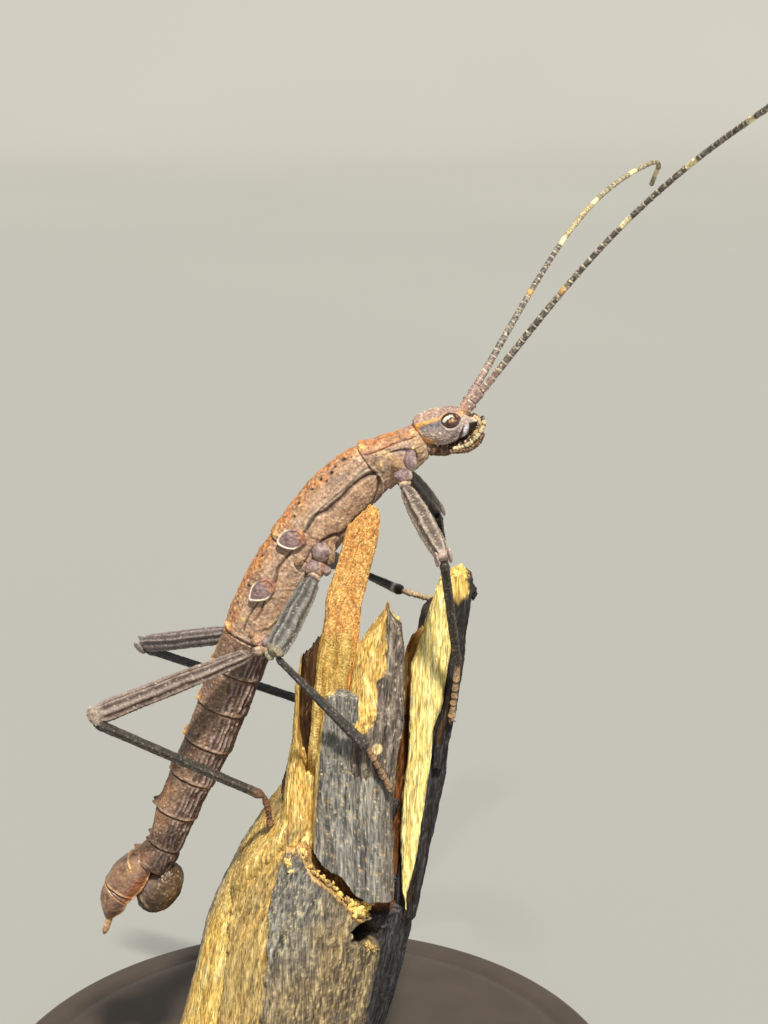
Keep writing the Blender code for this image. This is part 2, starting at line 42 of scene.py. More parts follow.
# A colour given as 0 to 255 in the usual display curve, as linear light.
def linear(red, green, blue):
    shown = np.array([red, green, blue]) / 255
    return np.where(shown < 0.04045, shown / 12.92, ((shown + 0.055) / 1.055) ** 2.4)


# Smooth step: 0 before start, 1 after stop, with 3t2 - 2t3 between.
def fade(start, stop, value):
    t = np.clip((value - start) / (stop - start), 0, 1)
    return t * t * (3 - 2 * t)


# A smooth hump: e to the minus squared distance over width.
def bell(distance, width):
    return np.exp(-((distance / width) ** 2))


dice = np.random.RandomState(11)
order = np.tile(dice.permutation(256), 2)  # a shuffled row of numbers that turns a cell into a die throw
slopes = dice.normal(size=(256, 3))
slopes /= np.linalg.norm(slopes, axis=1, keepdims=True)
scatter = dice.random_sample((256, 4))


# One of 256 numbers for each whole-number cell.
def throw(cell):
    c = cell & 255
    return order[order[order[c[..., 0]] + c[..., 1]] + c[..., 2]]


# Gradient noise, about -1 to 1: sloping planes at the cell corners, blended by 6t5 - 15t4 + 10t3.
def noise(points, seed=0):
    cell = np.floor(points)
    f = points - cell
    cell = cell.astype(np.int64) + np.array((37, 61, 89)) * seed
    w = f * f * f * (f * (f * 6 - 15) + 10)
    total = np.zeros(points.shape[:-1])
    for corner in np.ndindex(2, 2, 2):
        step = np.array(corner)
        share = np.prod(np.where(step == 1, w, 1 - w), axis=-1)
        total += share * ((f - step) * slopes[throw(cell + step)]).sum(-1)
    return total * 1.7


# A sum of noises, each at twice the pitch and a share of the strength of the one before.
def layered(points, seed=0, layers=4, gain=0.5):
    total, strength, norm = 0, 1.0, 0
    for k in range(layers):
        total = total + strength * noise(points * 2**k + k * 17.3, seed + k)
        norm += strength
        strength *= gain
    return total / norm * 1.6


# Distance to the nearest scattered point, one point in each unit cell, and that cell's own number.
def grains(points, seed=0):
    cell = np.floor(points).astype(np.int64)
    nearest = np.full(points.shape[:-1], 9.0)
    own = np.zeros(points.shape[:-1])
    for step in np.ndindex(3, 3, 3):
        near = cell + np.array(step) - 1
        spot = scatter[throw(near + np.array((37, 61, 89)) * seed)]
        away = np.linalg.norm(points - near - spot[..., :3], axis=-1)
        own = np.where(away < nearest, spot[..., 3], own)
        nearest = np.minimum(nearest, away)
    return nearest, own


# A curve through the points, Catmull-Rom: each stretch a cubic with slopes from its neighbours.
def smoothLine(points, count):
    p = np.asarray(points, float)
    p = np.vstack([2 * p[0] - p[1], p, 2 * p[-1] - p[-2]])
    u = np.linspace(0, len(points) - 1, count)
    k = np.clip(u.astype(int), 0, len(points) - 2)
    t = (u - k)[:, None]
    a, b, c, d = p[k], p[k + 1], p[k + 2], p[k + 3]
    return 0.5 * (2 * b + (c - a) * t + (2 * a - 5 * b + 4 * c - d) * t**2 + (3 * b - a - 3 * c + d) * t**3)


# Values read off a smooth curve through (place, value) pairs.
def smoothValues(places, values, at):
    line = smoothLine(np.stack([places, values], 1), 40 * len(places))
    return np.interp(at, line[:, 0], line[:, 1])


# Distance from each 2-D point to the nearest stretch of a line.
def lineDistance(points, line):
    nearest = np.full(points.shape[:-1], 1e9)
    for a, b in zip(line[:-1], line[1:]):
        run = b - a
        t = np.clip(((points - a) @ run) / (run @ run), 0, 1)
        nearest = np.minimum(nearest, np.linalg.norm(points - a - t[..., None] * run, axis=-1))
    return nearest


# Depth inside a closed outline, negative outside: the line distance with the sign of an even-odd test.
def insideDepth(points, outline):
    away = lineDistance(points, np.vstack([outline, outline[:1]]))
    crossings = np.zeros(points.shape[:-1], int)
    for a, b in zip(outline, np.roll(outline, -1, axis=0)):
        spans = (a[1] > points[..., 1]) != (b[1] > points[..., 1])
        reach = a[0] + (points[..., 1] - a[1]) * (b[0] - a[0]) / (b[1] - a[1] + 1e-12)
        crossings += spans & (points[..., 0] < reach)
    return np.where(crossings % 2 == 1, away, -away)


# Mixes a colour into the paint by a share from 0 to 1.
def blend(base, share, colour):
    share = np.clip(share, 0, 1)[..., None]
    return base * (1 - share) + colour * share


# Mixes one colour after another into the paint: each row is a share, then red, green and blue or a paint.
def layers(base, rows):
    for share, *colour in rows:
        base = blend(base, share, linear(*colour) if len(colour) == 3 else colour[0])
    return base


# One colour all over a grid.
def plainPaint(grid, red, green, blue):
    return np.ones(grid.shape) * linear(red, green, blue)


# Points from their separate coordinates.
def coords(*parts):
    return np.stack(parts, -1)


# Faces over a grid of points: rows along the piece, columns around it, and a point closing each end.
def shell(grid, paint=None, around=True, caps=True):
    rows, columns = grid.shape[:2]
    points = grid.reshape(-1, 3)
    r, c = np.meshgrid(np.arange(rows - 1), np.arange(columns if around else columns - 1), indexing="ij")
    right = (c + 1) % columns
    quads = coords(r * columns + c, r * columns + right, (r + 1) * columns + right, (r + 1) * columns + c)
    quads = quads.reshape(-1, 4)
    tris = np.zeros((0, 3), int)
    paint = np.ones(grid.shape) * paint if paint is not None else np.ones(grid.shape)
    paint = paint.reshape(-1, 3)
    if caps:
        ring = np.arange(columns)
        after = np.roll(ring, -1)
        first, last, top = len(points), len(points) + 1, (rows - 1) * columns
        points = np.vstack([points, grid[0].mean(0), grid[-1].mean(0)])
        tris = np.vstack([
            np.stack([after, ring, np.full(columns, first)], 1),
            np.stack([top + ring, top + after, np.full(columns, last)], 1),
        ])
        paint = np.vstack([paint, paint[:columns].mean(0), paint[-columns:].mean(0)])
    faces = np.vstack([quads[:, [0, 1, 2]], quads[:, [0, 2, 3]], tris])
    a, b, c = (points[faces[:, i]] - points.mean(0) for i in range(3))
    if np.einsum("ij,ij->i", a, np.cross(b, c)).sum() < 0:
        quads, tris = quads[:, ::-1], tris[:, ::-1]
    return points, quads, tris, paint


# One mesh from several shells, entered as a piece of the model.
def joined(name, shells, mat, slotName=None, stands=(), smooth=True):
    starts = np.cumsum([0] + [len(part[0]) for part in shells])
    points = np.vstack([part[0] for part in shells])
    quads = np.vstack([part[1] + start for part, start in zip(shells, starts)])
    tris = np.vstack([part[2] + start for part, start in zip(shells, starts)])
    paint = np.vstack([part[3] for part in shells])
    corners = np.concatenate([quads.ravel(), tris.ravel()]).astype(np.int32)
    firsts = np.concatenate([np.arange(len(quads)) * 4, len(quads) * 4 + np.arange(len(tris)) * 3])
    mesh = bpy.data.meshes.new(name)
    mesh.vertices.add(len(points))
    mesh.vertices.foreach_set("co", (points * mm).astype(np.float32).ravel())
    mesh.loops.add(len(corners))
    mesh.loops.foreach_set("vertex_index", corners)
    mesh.polygons.add(len(firsts))
    mesh.polygons.foreach_set("loop_start", firsts.astype(np.int32))
    mesh.update(calc_edges=True)
    if smooth:
        mesh.shade_smooth()
    layer = mesh.attributes.new("paint", "FLOAT_COLOR", "POINT")
    rgba = np.ones((len(points), 4), np.float32)
    rgba[:, :3] = np.clip(paint, 0, 1)
    layer.data.foreach_set("color", rgba.ravel())
    mesh.materials.append(mat)
    piece = bpy.data.objects.new(name, mesh)
    bpy.context.scene.collection.objects.link(piece)
    if slotName:
        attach(piece, "root")
    if stands:
        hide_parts(*stands)
    return piece


# A piece made of one shell.
def surface(name, grid, mat, paint=None, around=True, caps=True, slotName=None, stands=()):
    return joined(name, [shell(grid, paint, around, caps)], mat, slotName, stands)


# A profile carried along a path: half depths in the bending plane, half widths along its normal.
def tubeGrid(path, depth, width, normal, columns, lift=0.0, power=2.0):
    side, up = pathFrames(path, np.asarray(normal, float))
    angle = 2 * np.pi * np.arange(columns) / columns
    c, q = rounded(angle, power)
    lift = np.broadcast_to(lift, (len(path), columns))
    across = c * (np.broadcast_to(width, len(path))[:, None] + lift)
    rise = q * (np.broadcast_to(depth, len(path))[:, None] + lift)
    return path[:, None] + side[:, None] * across[..., None] + up[:, None] * rise[..., None]


# A sphere stretched along three axes given as vectors; lift adds to its radius by direction.
def ball(centre, axes, rows=24, columns=36, lift=None):
    polar, angle = np.meshgrid(np.radians(np.linspace(4, 176, rows)),
                               2 * np.pi * np.arange(columns) / columns,
                               indexing="ij")
    way = coords(np.cos(polar), np.sin(polar) * np.cos(angle), np.sin(polar) * np.sin(angle))
    reach = 1 if lift is None else (1 + lift(way))[..., None]
    return np.asarray(centre, float) + (way * reach) @ np.asarray(axes, float), way


# Side and up directions at each point of a path: a fixed normal made square to the path.
def pathFrames(path, normal):
    ahead = np.gradient(path, axis=0)
    ahead /= np.linalg.norm(ahead, axis=1, keepdims=True)
    side = normal - ahead * (ahead @ normal)[:, None]
    side /= np.linalg.norm(side, axis=1, keepdims=True)
    return side, np.cross(side, ahead)


# Cosine and sine of a superellipse: each raised to 2 over the power, with its sign kept.
def rounded(angle, power):
    c, s = np.cos(angle), np.sin(angle)
    return np.sign(c) * np.abs(c) ** (2 / power), np.sign(s) * np.abs(s) ** (2 / power)


# A shader node of one kind, with its sockets' values and the outputs that feed it.
def addNode(mat, kind, values, feeds, operation=None):
    node = mat.node_tree.nodes.new("ShaderNode" + kind)
    if operation:
        node.operation = operation
    for socket, value in values.items():
        node.inputs[socket].default_value = value
    for socket, output in feeds.items():
        mat.node_tree.links.new(output, node.inputs[socket])
    return node


# A new material, its main shader with some sockets set, and the output that gives a place on the object.
def newMaterial(name, **values):
    mat = bpy.data.materials.new(name)
    mat.use_nodes = True
    shader = mat.node_tree.nodes["Principled BSDF"]
    for socket, value in values.items():
        shader.inputs[socket].default_value = value
    return mat, shader, addNode(mat, "TexCoord", {}, {}).outputs["Object"]


# A range of values from a noise: the part of it around one half, spread from low to high.
def spread(mat, source, low, high, half=0.5):
    values = {"From Min": 0.5 - half, "From Max": 0.5 + half, "To Min": low, "To Max": high}
    return addNode(mat, "MapRange", values, {"Value": source}).outputs["Result"]


# The piece's painted colour, mottled by two noises, with a grainy bump and uneven gloss.
def paintedSkin(name, finish):
    mat, shader, place = newMaterial(name, **{
        "Specular IOR Level": finish.get("specular", 0.4), "Coat Weight": finish.get("coat", 0.0),
        "Coat Roughness": 0.25})
    paint = addNode(mat, "Attribute", {}, {})
    paint.attribute_name = "paint"
    turn = (0, math.radians(finish.get("lean", 0)), 0)
    stretch = addNode(mat, "Mapping", {"Scale": finish.get("stretch", (1, 1, 1)), "Rotation": turn},
                      {"Vector": place}).outputs["Vector"]
    mottle, fine = (addNode(mat, "TexNoise", {"Scale": finish[key], "Detail": detail},
                            {"Vector": stretch}).outputs["Fac"]
                    for key, detail in (("mottleScale", 5), ("grainScale", 3)))
    clouds = spread(mat, mottle, 1 - finish["mottle"], 1 + finish["mottle"], 0.2)
    specks = spread(mat, fine, 1 - finish["grain"], 1 + finish["grain"], 0.15)
    both = addNode(mat, "Math", {}, {0: clouds, 1: specks}, "MULTIPLY").outputs["Value"]
    tint = addNode(mat, "VectorMath", {}, {0: paint.outputs["Color"], "Scale": both}, "SCALE")
    gloss = spread(mat, fine, finish["roughness"] - 0.1, finish["roughness"] + 0.12)
    bump = addNode(mat, "Bump", {"Strength": finish["bump"], "Distance": finish.get("relief", 0.03) * mm},
                   {"Height": fine})
    links = mat.node_tree.links
    links.new(tint.outputs["Vector"], shader.inputs["Base Color"])
    links.new(gloss, shader.inputs["Roughness"])
    links.new(bump.outputs["Normal"], shader.inputs["Normal"])
    return mat


cuticle = paintedSkin("cuticle", dict(
    mottleScale=1300, mottle=0.22, grainScale=5200, grain=0.22, roughness=0.55, bump=0.7))
hornyCuticle = paintedSkin("hornyCuticle", dict(
    mottleScale=1500, mottle=0.25, grainScale=5000, grain=0.15, roughness=0.36, bump=0.4, coat=0.15))
legCuticle = paintedSkin("legCuticle", dict(
    mottleScale=1500, mottle=0.22, grainScale=5600, grain=0.28, roughness=0.5, bump=0.7))
hairMat = paintedSkin("bristles", dict(
    mottleScale=900, mottle=0.15, grainScale=4000, grain=0.1, roughness=0.5, bump=0.2))
bristleBeds = []  # skins that carry bristles: (points, middle line, how many, length, colour)


trunk = dict(
    neck=(10.19, 65.25), neckSize=(1.5, 1.65, 2.6), flare=0.95, power=2.2, inset=0.06,
    plates=(  # length, slope, then above, below and width at the middle and at the hind end
        (4.83, 22, 1.35, 2.60, 3.7, 1.70, 3.15, 3.5), (9.73, 52, 2.40, 3.05, 4.4, 2.75, 2.65, 4.9),
        (8.72, 62, 2.75, 2.80, 5.0, 2.45, 2.45, 4.5), (3.34, 68, 2.35, 2.30, 4.3, 2.40, 2.35, 4.45),
        (3.50, 69, 2.28, 2.25, 4.2, 2.35, 2.30, 4.35), (3.60, 68, 2.18, 2.18, 4.05, 2.25, 2.25, 4.2),
        (3.44, 65, 2.06, 2.08, 3.85, 2.13, 2.15, 4.0), (3.61, 66, 1.90, 1.92, 3.6, 1.98, 2.00, 3.75),
        (3.35, 70, 1.68, 1.68, 3.3, 1.55, 1.58, 3.2), (2.00, 60, 1.75, 1.80, 3.5, 1.95, 2.00, 3.8)),
    mmPerDegree=0.04, seamReach=(196, 168, 235))  # degrees that each thorax joint runs down to


# The way the trunk runs at a slope: back and down.
def headingOf(slope):
    return -coords(np.cos(np.radians(slope)), np.sin(np.radians(slope)))


plateLengths = np.array([p[0] for p in trunk["plates"]])
plateSlopes = np.array([p[1] for p in trunk["plates"]], float)
plateEnds = np.concatenate([[0], np.cumsum(plateLengths)])
jointSlopes = np.concatenate([plateSlopes[:1], (plateSlopes[1:] + plateSlopes[:-1]) / 2, plateSlopes[-1:]])
joints = np.array(trunk["neck"]) + np.vstack(
    [[0, 0], np.cumsum(headingOf(plateSlopes) * plateLengths[:, None], axis=0)])


# Centre (x, z) and slope at a distance from the neck: a Hermite cubic between two joints.
def spineAt(s):
    k = np.clip(np.searchsorted(plateEnds, s) - 1, 0, len(plateLengths) - 1)
    span = plateLengths[k]
    t = ((s - plateEnds[k]) / span)[..., None]
    leave, arrive = (headingOf(jointSlopes[i]) * span[..., None] for i in (k, k + 1))
    centre = (joints[k] * (2 * t**3 - 3 * t**2 + 1) + leave * (t**3 - 2 * t**2 + t)
              + joints[k + 1] * (3 * t**2 - 2 * t**3) + arrive * (t**3 - t**2))
    return centre, jointSlopes[k] + (jointSlopes[k + 1] - jointSlopes[k]) * t[..., 0]


# Above, below and width at a distance: a quadratic through each plate's front, middle and hind sizes.
def trunkSize(s):
    hind = np.array([p[5:8] for p in trunk["plates"]])
    front = np.vstack([trunk["neckSize"], hind[:-1] * trunk["flare"]])
    middle = np.array([p[2:5] for p in trunk["plates"]])
    k = np.clip(np.searchsorted(plateEnds, s) - 1, 0, len(plateLengths) - 1)
    t = ((s - plateEnds[k]) / plateLengths[k])[..., None]
    return front[k] * (1 - t) * (1 - 2 * t) + middle[k] * 4 * t * (1 - t) + hind[k] * t * (2 * t - 1)


# A point of the trunk: a superellipse round the centreline, 90 degrees on the back and 180 on the right.
def trunkPoint(s, angle, lift=0.0):
    centre, slope = spineAt(s)
    size = trunkSize(s)
    c, q = rounded(np.radians(angle), trunk["power"])
    across = c * (size[..., 2] / 2 + lift)
    up = q * (np.where(q > 0, size[..., 0], size[..., 1]) + lift)
    tilt = np.radians(slope)
    return coords(centre[..., 0] - np.sin(tilt) * up, across, centre[..., 1] + np.cos(tilt) * up)


# The skin laid flat in millimetres, left side folded over the right, so that both carry the same marks.
def plan(s, angle):
    folded = np.where(angle > 270, 540 - angle, angle)
    return coords(s, folded * trunk["mmPerDegree"]), folded


# Marks given as (distance, degrees) in the plan's millimetres, drawn as a smooth line.
def onPlan(points):
    line = np.array(points, float) * (1, trunk["mmPerDegree"])
    return smoothLine(line, 8 * len(points)) if len(points) > 2 else line


thoraxMarks = dict(
    ridge=((5.1, 185), (5.8, 182), (7.4, 182), (8.8, 179), (9.8, 171), (10.7, 166), (11.7, 164), (12.4, 169)),
    furrow=((4.8, 197), (6.1, 189), (7.3, 186), (8.3, 186), (9.2, 183), (10, 180), (10.9, 169), (11.5, 168),
            (12.5, 170)),
    upperEdge=((4.9, 184), (5.6, 181), (7.6, 181), (9.4, 174), (10.1, 170), (11.0, 171), (12.2, 171)),
    flapRim=((4.8, 197), (4.6, 205), (5.2, 234), (6.1, 261), (6.8, 264)),
    flapGap=((4.85, 206), (5.3, 220), (6.4, 238), (7.2, 240), (8.4, 236), (9.8, 232), (10.7, 226),
             (11.3, 213),
             (12.1, 203)),
    lowerFold=((12.1, 203), (13.3, 195), (14.6, 198)),
    metaFurrow=((13, 175), (14.3, 170), (15.3, 167), (16.3, 165), (16.9, 170), (17.7, 174)),
    metaRise=((14.3, 170), (15.1, 177), (15.6, 192), (15.7, 209)),
    metaFold=((15.9, 206), (17.2, 207), (18.3, 210), (19.8, 206), (21.2, 196)),
    crackOne=((19.6, 163), (21.2, 159), (22.4, 161)), crackTwo=((19.2, 172), (20.3, 175), (21.2, 172)),
    collar=((4.55, 120), (4.4, 138), (4.1, 146), (3, 150), (2, 141), (1.1, 139), (0.5, 147)),
    collarFold=((4.6, 152), (3.6, 157), (2.4, 152), (1.4, 150), (0.4, 156)),
    episternum=((4.75, 133), (4.8, 168), (4.75, 190), (4.3, 196), (3.8, 182), (3.6, 158)),
    coxaTop=((2.6, 176), (1.7, 181), (0.9, 195), (1.2, 220), (1.7, 240)),
)
thoraxPlates = dict(
    flap=((4.9, 197), (4.7, 206), (5.2, 222), (6.1, 237), (7.2, 239), (8.4, 235), (9.8, 231), (10.7, 224),
          (11.3, 212), (12.1, 202), (12.4, 190), (12.4, 177), (11.5, 172), (10.9, 172), (10, 182), (9.2, 185),
          (8.3, 188), (7.3, 188), (6.1, 191)),
    metaFlap=((14.3, 172), (15.1, 178), (15.7, 195), (16.3, 204), (17.2, 205), (18.2, 208), (20, 204),
              (21.5, 194), (21.5, 180), (20, 176), (18.2, 177), (17.7, 176), (16.9, 172), (16.3, 168)),
)
thoraxRelief = dict(  # height and width of each mark's bell
    ridge=(0.07, 0.1), furrow=(-0.22, 0.13), flapRim=(0.10, 0.08), flapGap=(-0.26, 0.15),
    lowerFold=(-0.10, 0.1), metaFurrow=(-0.18, 0.12), metaRise=(0.07, 0.12), metaFold=(0.08, 0.12),
    crackOne=(-0.15, 0.09), crackTwo=(-0.15, 0.09), collar=(0.07, 0.12), collarFold=(-0.14, 0.1),
    episternum=(0.06, 0.12), coxaTop=(-0.14, 0.14))
creamSpots = (  # distance, degrees, radius, height
    (14.2, 120, 0.24, 0.16), (4.55, 124, 0.34, 0.14), (4.6, 112, 0.22, 0.12), (3.2, 168, 0.2, 0.1),
    (3.0, 184, 0.18, 0.12), (4.0, 189, 0.2, 0.12), (22.9, 118, 0.24, 0.16), (0.6, 172, 0.13, 0.1),
    (0.95, 184, 0.12, 0.1),
    (23.0, 104, 0.2, 0.12), (21.6, 150, 0.2, 0.05), (0.5, 158, 0.12, 0.08), (0.75, 196, 0.14, 0.1),
)
darkPits = ((6.2, 123, 0.16), (7.1, 125, 0.13), (7.6, 132, 0.15), (8.6, 125, 0.14), (8.3, 141, 0.1),
    (9.6, 127, 0.13), (5.6, 132, 0.1), (11.2, 121, 0.12), (12.1, 134, 0.1), (16.3, 119, 0.12),
    (18.9, 131, 0.1), (20.7, 122, 0.12),)


# Share of the nearest spot at each point of the plan, as a round bell of that spot's radius.
def scatteredSpots(at, spots):
    share, lift = np.zeros(at.shape[:-1]), np.zeros(at.shape[:-1])
    for distance, degrees, radius, *height in spots:
        away = np.linalg.norm(at - np.array([distance, degrees * trunk["mmPerDegree"]]), axis=-1)
        share = np.maximum(share, bell(away, radius))
        lift += bell(away, radius * 0.9) * (height[0] if height else -0.12)
    return share, lift


# Small round grains: 1 at each grain's middle, falling to 0, and a number that is each grain's own.
def granules(points, pitch, seed):
    away, own = grains(points / pitch, seed)
    return np.clip(1 - (away / 0.52) ** 2, 0, 1), own


# Three scales of roughness: two layered noises, then grains with each one's own number.
def texture(points, pitches, seed):
    coarse, fine, small = pitches
    return (layered(points / coarse, seed, 4), layered(points / fine, seed + 2, 3),
            *granules(points, small, seed + 4))


# The trunk's surface pushed out by noises, grains, plates and the marks' bells, and painted by the same.
def thoraxSkin():
    s, angle = np.meshgrid(np.linspace(-0.5, 23.6, 420), 90 + 360 * np.arange(208) / 208, indexing="ij")
    at, folded = plan(s, angle)
    base = trunkPoint(s, angle)
    marks = {name: lineDistance(at, onPlan(points)) for name, points in thoraxMarks.items()}
    plates = {name: insideDepth(at, onPlan(points + points[:1])) for name, points in thoraxPlates.items()}
    rough = layered(base / 1.1, 3, 4)
    lumps = layered(base / 0.42, 11, 3)
    grain, own = granules(base, 0.26, 5)
    coarse, coarseOwn = granules(base, 0.55, 9)
    back = 1 - fade(128, 152, folded + rough * 9)
    under = fade(236, 256, folded + rough * 6)
    flap, metaFlap = fade(-0.05, 0.12, plates["flap"]), fade(-0.05, 0.12, plates["metaFlap"])
    cream, creamLift = scatteredSpots(at, creamSpots)
    pit, pitLift = scatteredSpots(at, darkPits)
    lengthways = noise(coords(s / 1.6, folded / 5, s * 0), 21)

    lift = (-trunk["inset"] + rough * 0.05 + lumps * 0.035 + grain * 0.03 * (own > 0.45)
        + coarse * 0.05 * (coarseOwn > 0.8))
    lift += lengthways * 0.03 * (1 - under) + back * (lumps * 0.05 + coarse * 0.06 * (coarseOwn > 0.6))
    lift += flap * 0.10 + metaFlap * 0.07 + 0.06 * bell(marks["upperEdge"] - 0.12, 0.08)
    for name, (height, width) in thoraxRelief.items():
        lift += height * bell(marks[name], width)
    for joint, reach in zip(plateEnds[1:4], trunk["seamReach"]):
        share = 1 - fade(reach - 8, reach + 8, folded)
        lift += share * (0.05 * bell(s - joint + 0.2, 0.13) - 0.12 * bell(s - joint - 0.05, 0.08))
    lift += creamLift + pitLift
    lift *= fade(-0.5, 0.1, s) * 0.6 + 0.4
    lift -= 0.5 * (1 - fade(-0.5, 0.25, s))

    skin = layers(plainPaint(base, 178, 146, 120), [
        (fade(-0.2, 0.9, rough) * 0.7, 208, 172, 140),
        (fade(0.1, 0.9, -rough) * 0.75, 112, 86, 76),
        (fade(0.15, 0.6, layered(base / 1.5, 17, 3)) * 0.7, 150, 130, 122),
        (fade(0.2, 0.7, -lengthways) * 0.6, 98, 72, 60)])
    warm = fade(-0.1, 0.6, layered(coords(s / 1.5, folded / 20, s * 0), 44, 4))
    skin = layers(skin, [
        (back * 0.7, 168, 122, 86),
        (back * warm * 0.8, 214, 136, 70),
        (back * fade(0.1, 0.8, lumps) * 0.7, 238, 190, 124),
        (back * fade(0.1, 0.8, -lumps) * 0.7, 120, 78, 54),
        ((1 - fade(98, 118, folded + rough * 8)) * fade(-0.4, 0.3, lumps) * 0.75, 214, 132, 58),
        ((flap + metaFlap) * 0.4, 190, 152, 122),
        (flap * fade(0, 0.8, lumps) * 0.5, 200, 164, 130),
        (fade(0.1, 0.8, layered(base / 0.2, 46, 2)) * 0.4, 206, 172, 140),
        (fade(0.2, 0.8, -layered(base / 0.22, 48, 2)) * 0.5, 96, 68, 58),
        (under * 0.7, 92, 66, 54),
        ((own > 0.86) * grain * (1 - under) * 0.8, 214, 196, 168),
        ((own < 0.14) * grain * 0.55, 84, 58, 48),
        (bell(marks["ridge"], 0.1) * 0.85, 218, 202, 174),
        (bell(marks["metaRise"], 0.1) * 0.6, 206, 184, 154),
        (bell(marks["metaFold"], 0.08) * 0.6, 214, 190, 156),
        (bell(marks["flapRim"], 0.07) * 0.9, 222, 208, 184),
        (bell(marks["collar"], 0.13) * 0.6, 204, 132, 66),
        (bell(marks["collarFold"], 0.1) * 0.8, 112, 48, 22),
        (bell(marks["episternum"], 0.1) * 0.45, 196, 170, 144)])
    for name, width in (("furrow", 0.13), ("upperEdge", 0.06), ("flapGap", 0.17), ("metaFurrow", 0.11),
            ("crackOne", 0.07), ("crackTwo", 0.07), ("lowerFold", 0.07), ("coxaTop", 0.1)):
        skin = blend(skin, bell(marks[name], width) * 0.85, linear(58, 36, 28))
    neckOchre = (1 - fade(0.35, 1.3, s)) * fade(146, 160, folded) * (1 - fade(196, 212, folded))
    skin = blend(skin, neckOchre * fade(-0.1, 0.5, lumps) * 0.45, linear(206, 176, 118))
    lilac = bell(np.linalg.norm(at - (0.7, 108 * trunk["mmPerDegree"]), axis=-1), 0.62)
    skin = layers(skin, [
        (lilac * 0.8, 160, 132, 132),
        (cream * 0.9, 226, 194, 120),
        (np.minimum(1, pit * 1.6), 26, 16, 13)])
    shadowed = fade(244, 262, folded) * (1 - fade(14, 17, s))
    skin = blend(skin, shadowed * 0.4, linear(70, 48, 40))
    return surface("thoraxSkin", trunkPoint(s, angle, lift), cuticle, skin, slotName="trunk",
                   stands=("prothorax", "mesothorax", "metathorax"))


abdomen = dict(ridges=(181, 193, 205, 218, 231), ridgeHeight=0.09, knobs=(105, 106, 102, 104, 99, 114, 108))


# As the thorax, with lengthwise ridges on the sides and a raised rim and a gap at each plate's end.
def abdomenSkin():
    s, angle = np.meshgrid(np.linspace(22.9, 46.3, 400), 90 + 360 * np.arange(200) / 200, indexing="ij")
    at, folded = plan(s, angle)
    base = trunkPoint(s, angle)
    rough, lumps = layered(base / 0.9, 31, 4), layered(base / 0.35, 37, 3)
    grain, own = granules(base, 0.24, 41)
    coarse, coarseOwn = granules(base, 0.5, 43)
    ends = plateEnds[3:]
    k = np.clip(np.searchsorted(ends, s) - 1, 0, len(ends) - 2)
    fromFront, toHind = s - ends[k], ends[k + 1] - s
    free = fade(0.15, 0.6, fromFront) * fade(0.05, 0.4, toHind)
    wander = noise(coords(s / 1.7, k * 0.3, folded / 30), 47) * 6
    ridge = sum(bell(folded + wander - middle, 4.0) for middle in abdomen["ridges"])
    ridge = ridge * (0.35 + 0.75 * fade(-0.5, 0.3, noise(coords(s / 0.9, folded / 9, k * 0.7), 59)))
    sides = fade(172, 180, folded + rough * 5) * (1 - fade(236, 246, folded))
    under = fade(236, 250, folded)
    back = 1 - fade(150, 168, folded + rough * 5)
    # a raised hind rim on every plate, then a dark gap before the next one
    rim = bell(toHind - 0.14, 0.12) * (1 - fade(214, 236, folded))
    gap = bell(fromFront - 0.05, 0.11)
    lift = -trunk["inset"] + rough * 0.045 + lumps * 0.03 + grain * 0.028 * (own > 0.4)
    lift += coarse * 0.05 * (coarseOwn > 0.75) * back
    lift += sides * free * (ridge * abdomen["ridgeHeight"] * 2 - abdomen["ridgeHeight"])
    broken = fade(-0.5, 0.3, layered(base / 0.5, 57, 2))
    lift += 0.05 * rim * broken - 0.11 * gap
    knob = np.zeros(s.shape)
    for degrees, hind in zip(abdomen["knobs"], ends[1:]):
        away = np.linalg.norm(at - np.array([hind - 0.22, degrees * trunk["mmPerDegree"]]), axis=-1)
        knob = np.maximum(knob, bell(away, 0.26))
    spiny = fade(39, 41, s)
    lift += knob * (0.2 + 0.22 * spiny) - 0.3 * fade(44.6, 46.0, s) * fade(196, 220, folded)
    tail = fade(44.3, 46.3, s)

    # the abdomen's browns are darker than the thorax's: partly its own colour, partly painted shade
    skin = layers(plainPaint(base, 124, 98, 80), [
        (fade(-0.1, 0.9, rough) * 0.7, 158, 128, 102),
        (fade(0.1, 0.9, -rough) * 0.75, 74, 54, 44),
        (back * fade(0.0, 0.9, noise(base / 1.6, 53)) * 0.45, 190, 130, 82)])
    skin = blend(skin, (1 - fade(94, 112, folded + rough * 8)) * fade(-0.2, 0.5, lumps)
        * (1 - fade(36, 40, s)) * 0.7, linear(208, 130, 60))
    skin = layers(skin, [
        (fade(0.1, 0.8, layered(base / 0.2, 54, 2)) * 0.4, 196, 164, 136),
        (fade(0.2, 0.8, -layered(base / 0.22, 56, 2)) * 0.5, 84, 60, 50),
        (sides * free * np.clip(ridge, 0, 1) * (0.45 + 0.4 * fade(-0.5, 0.5, lumps)), 168, 148, 144),
        (sides * free * np.clip(1 - ridge * 1.25, 0, 1) * 0.85, 48, 34, 30),
        (under * 0.7, 78, 54, 44),
        ((own > 0.84) * grain * (1 - under) * 0.7, 208, 184, 156),
        ((own < 0.16) * grain * 0.6, 70, 46, 38),
        (rim * broken * 0.5, 196, 172, 144),
        (gap * 0.85, 44, 28, 22),
        (knob * (1 - spiny) * 0.95, 236, 172, 74),
        (knob * spiny * 0.8, 70, 48, 40)])
    # painted shade low on the abdomen's hind end, beside the cup
    paintedEndShade = fade(43.6, 45.4, s + (folded - 200) * 0.012) * fade(150, 176, folded)
    skin = blend(skin, paintedEndShade * 0.8, linear(56, 40, 32))
    skin = blend(skin, tail * back * 0.5, linear(150, 104, 76))
    return surface("abdomenSkin", trunkPoint(s, angle, lift), cuticle, skin, slotName="abdomen",
                   stands=["abdomen_%d" % n for n in range(2, 9)])


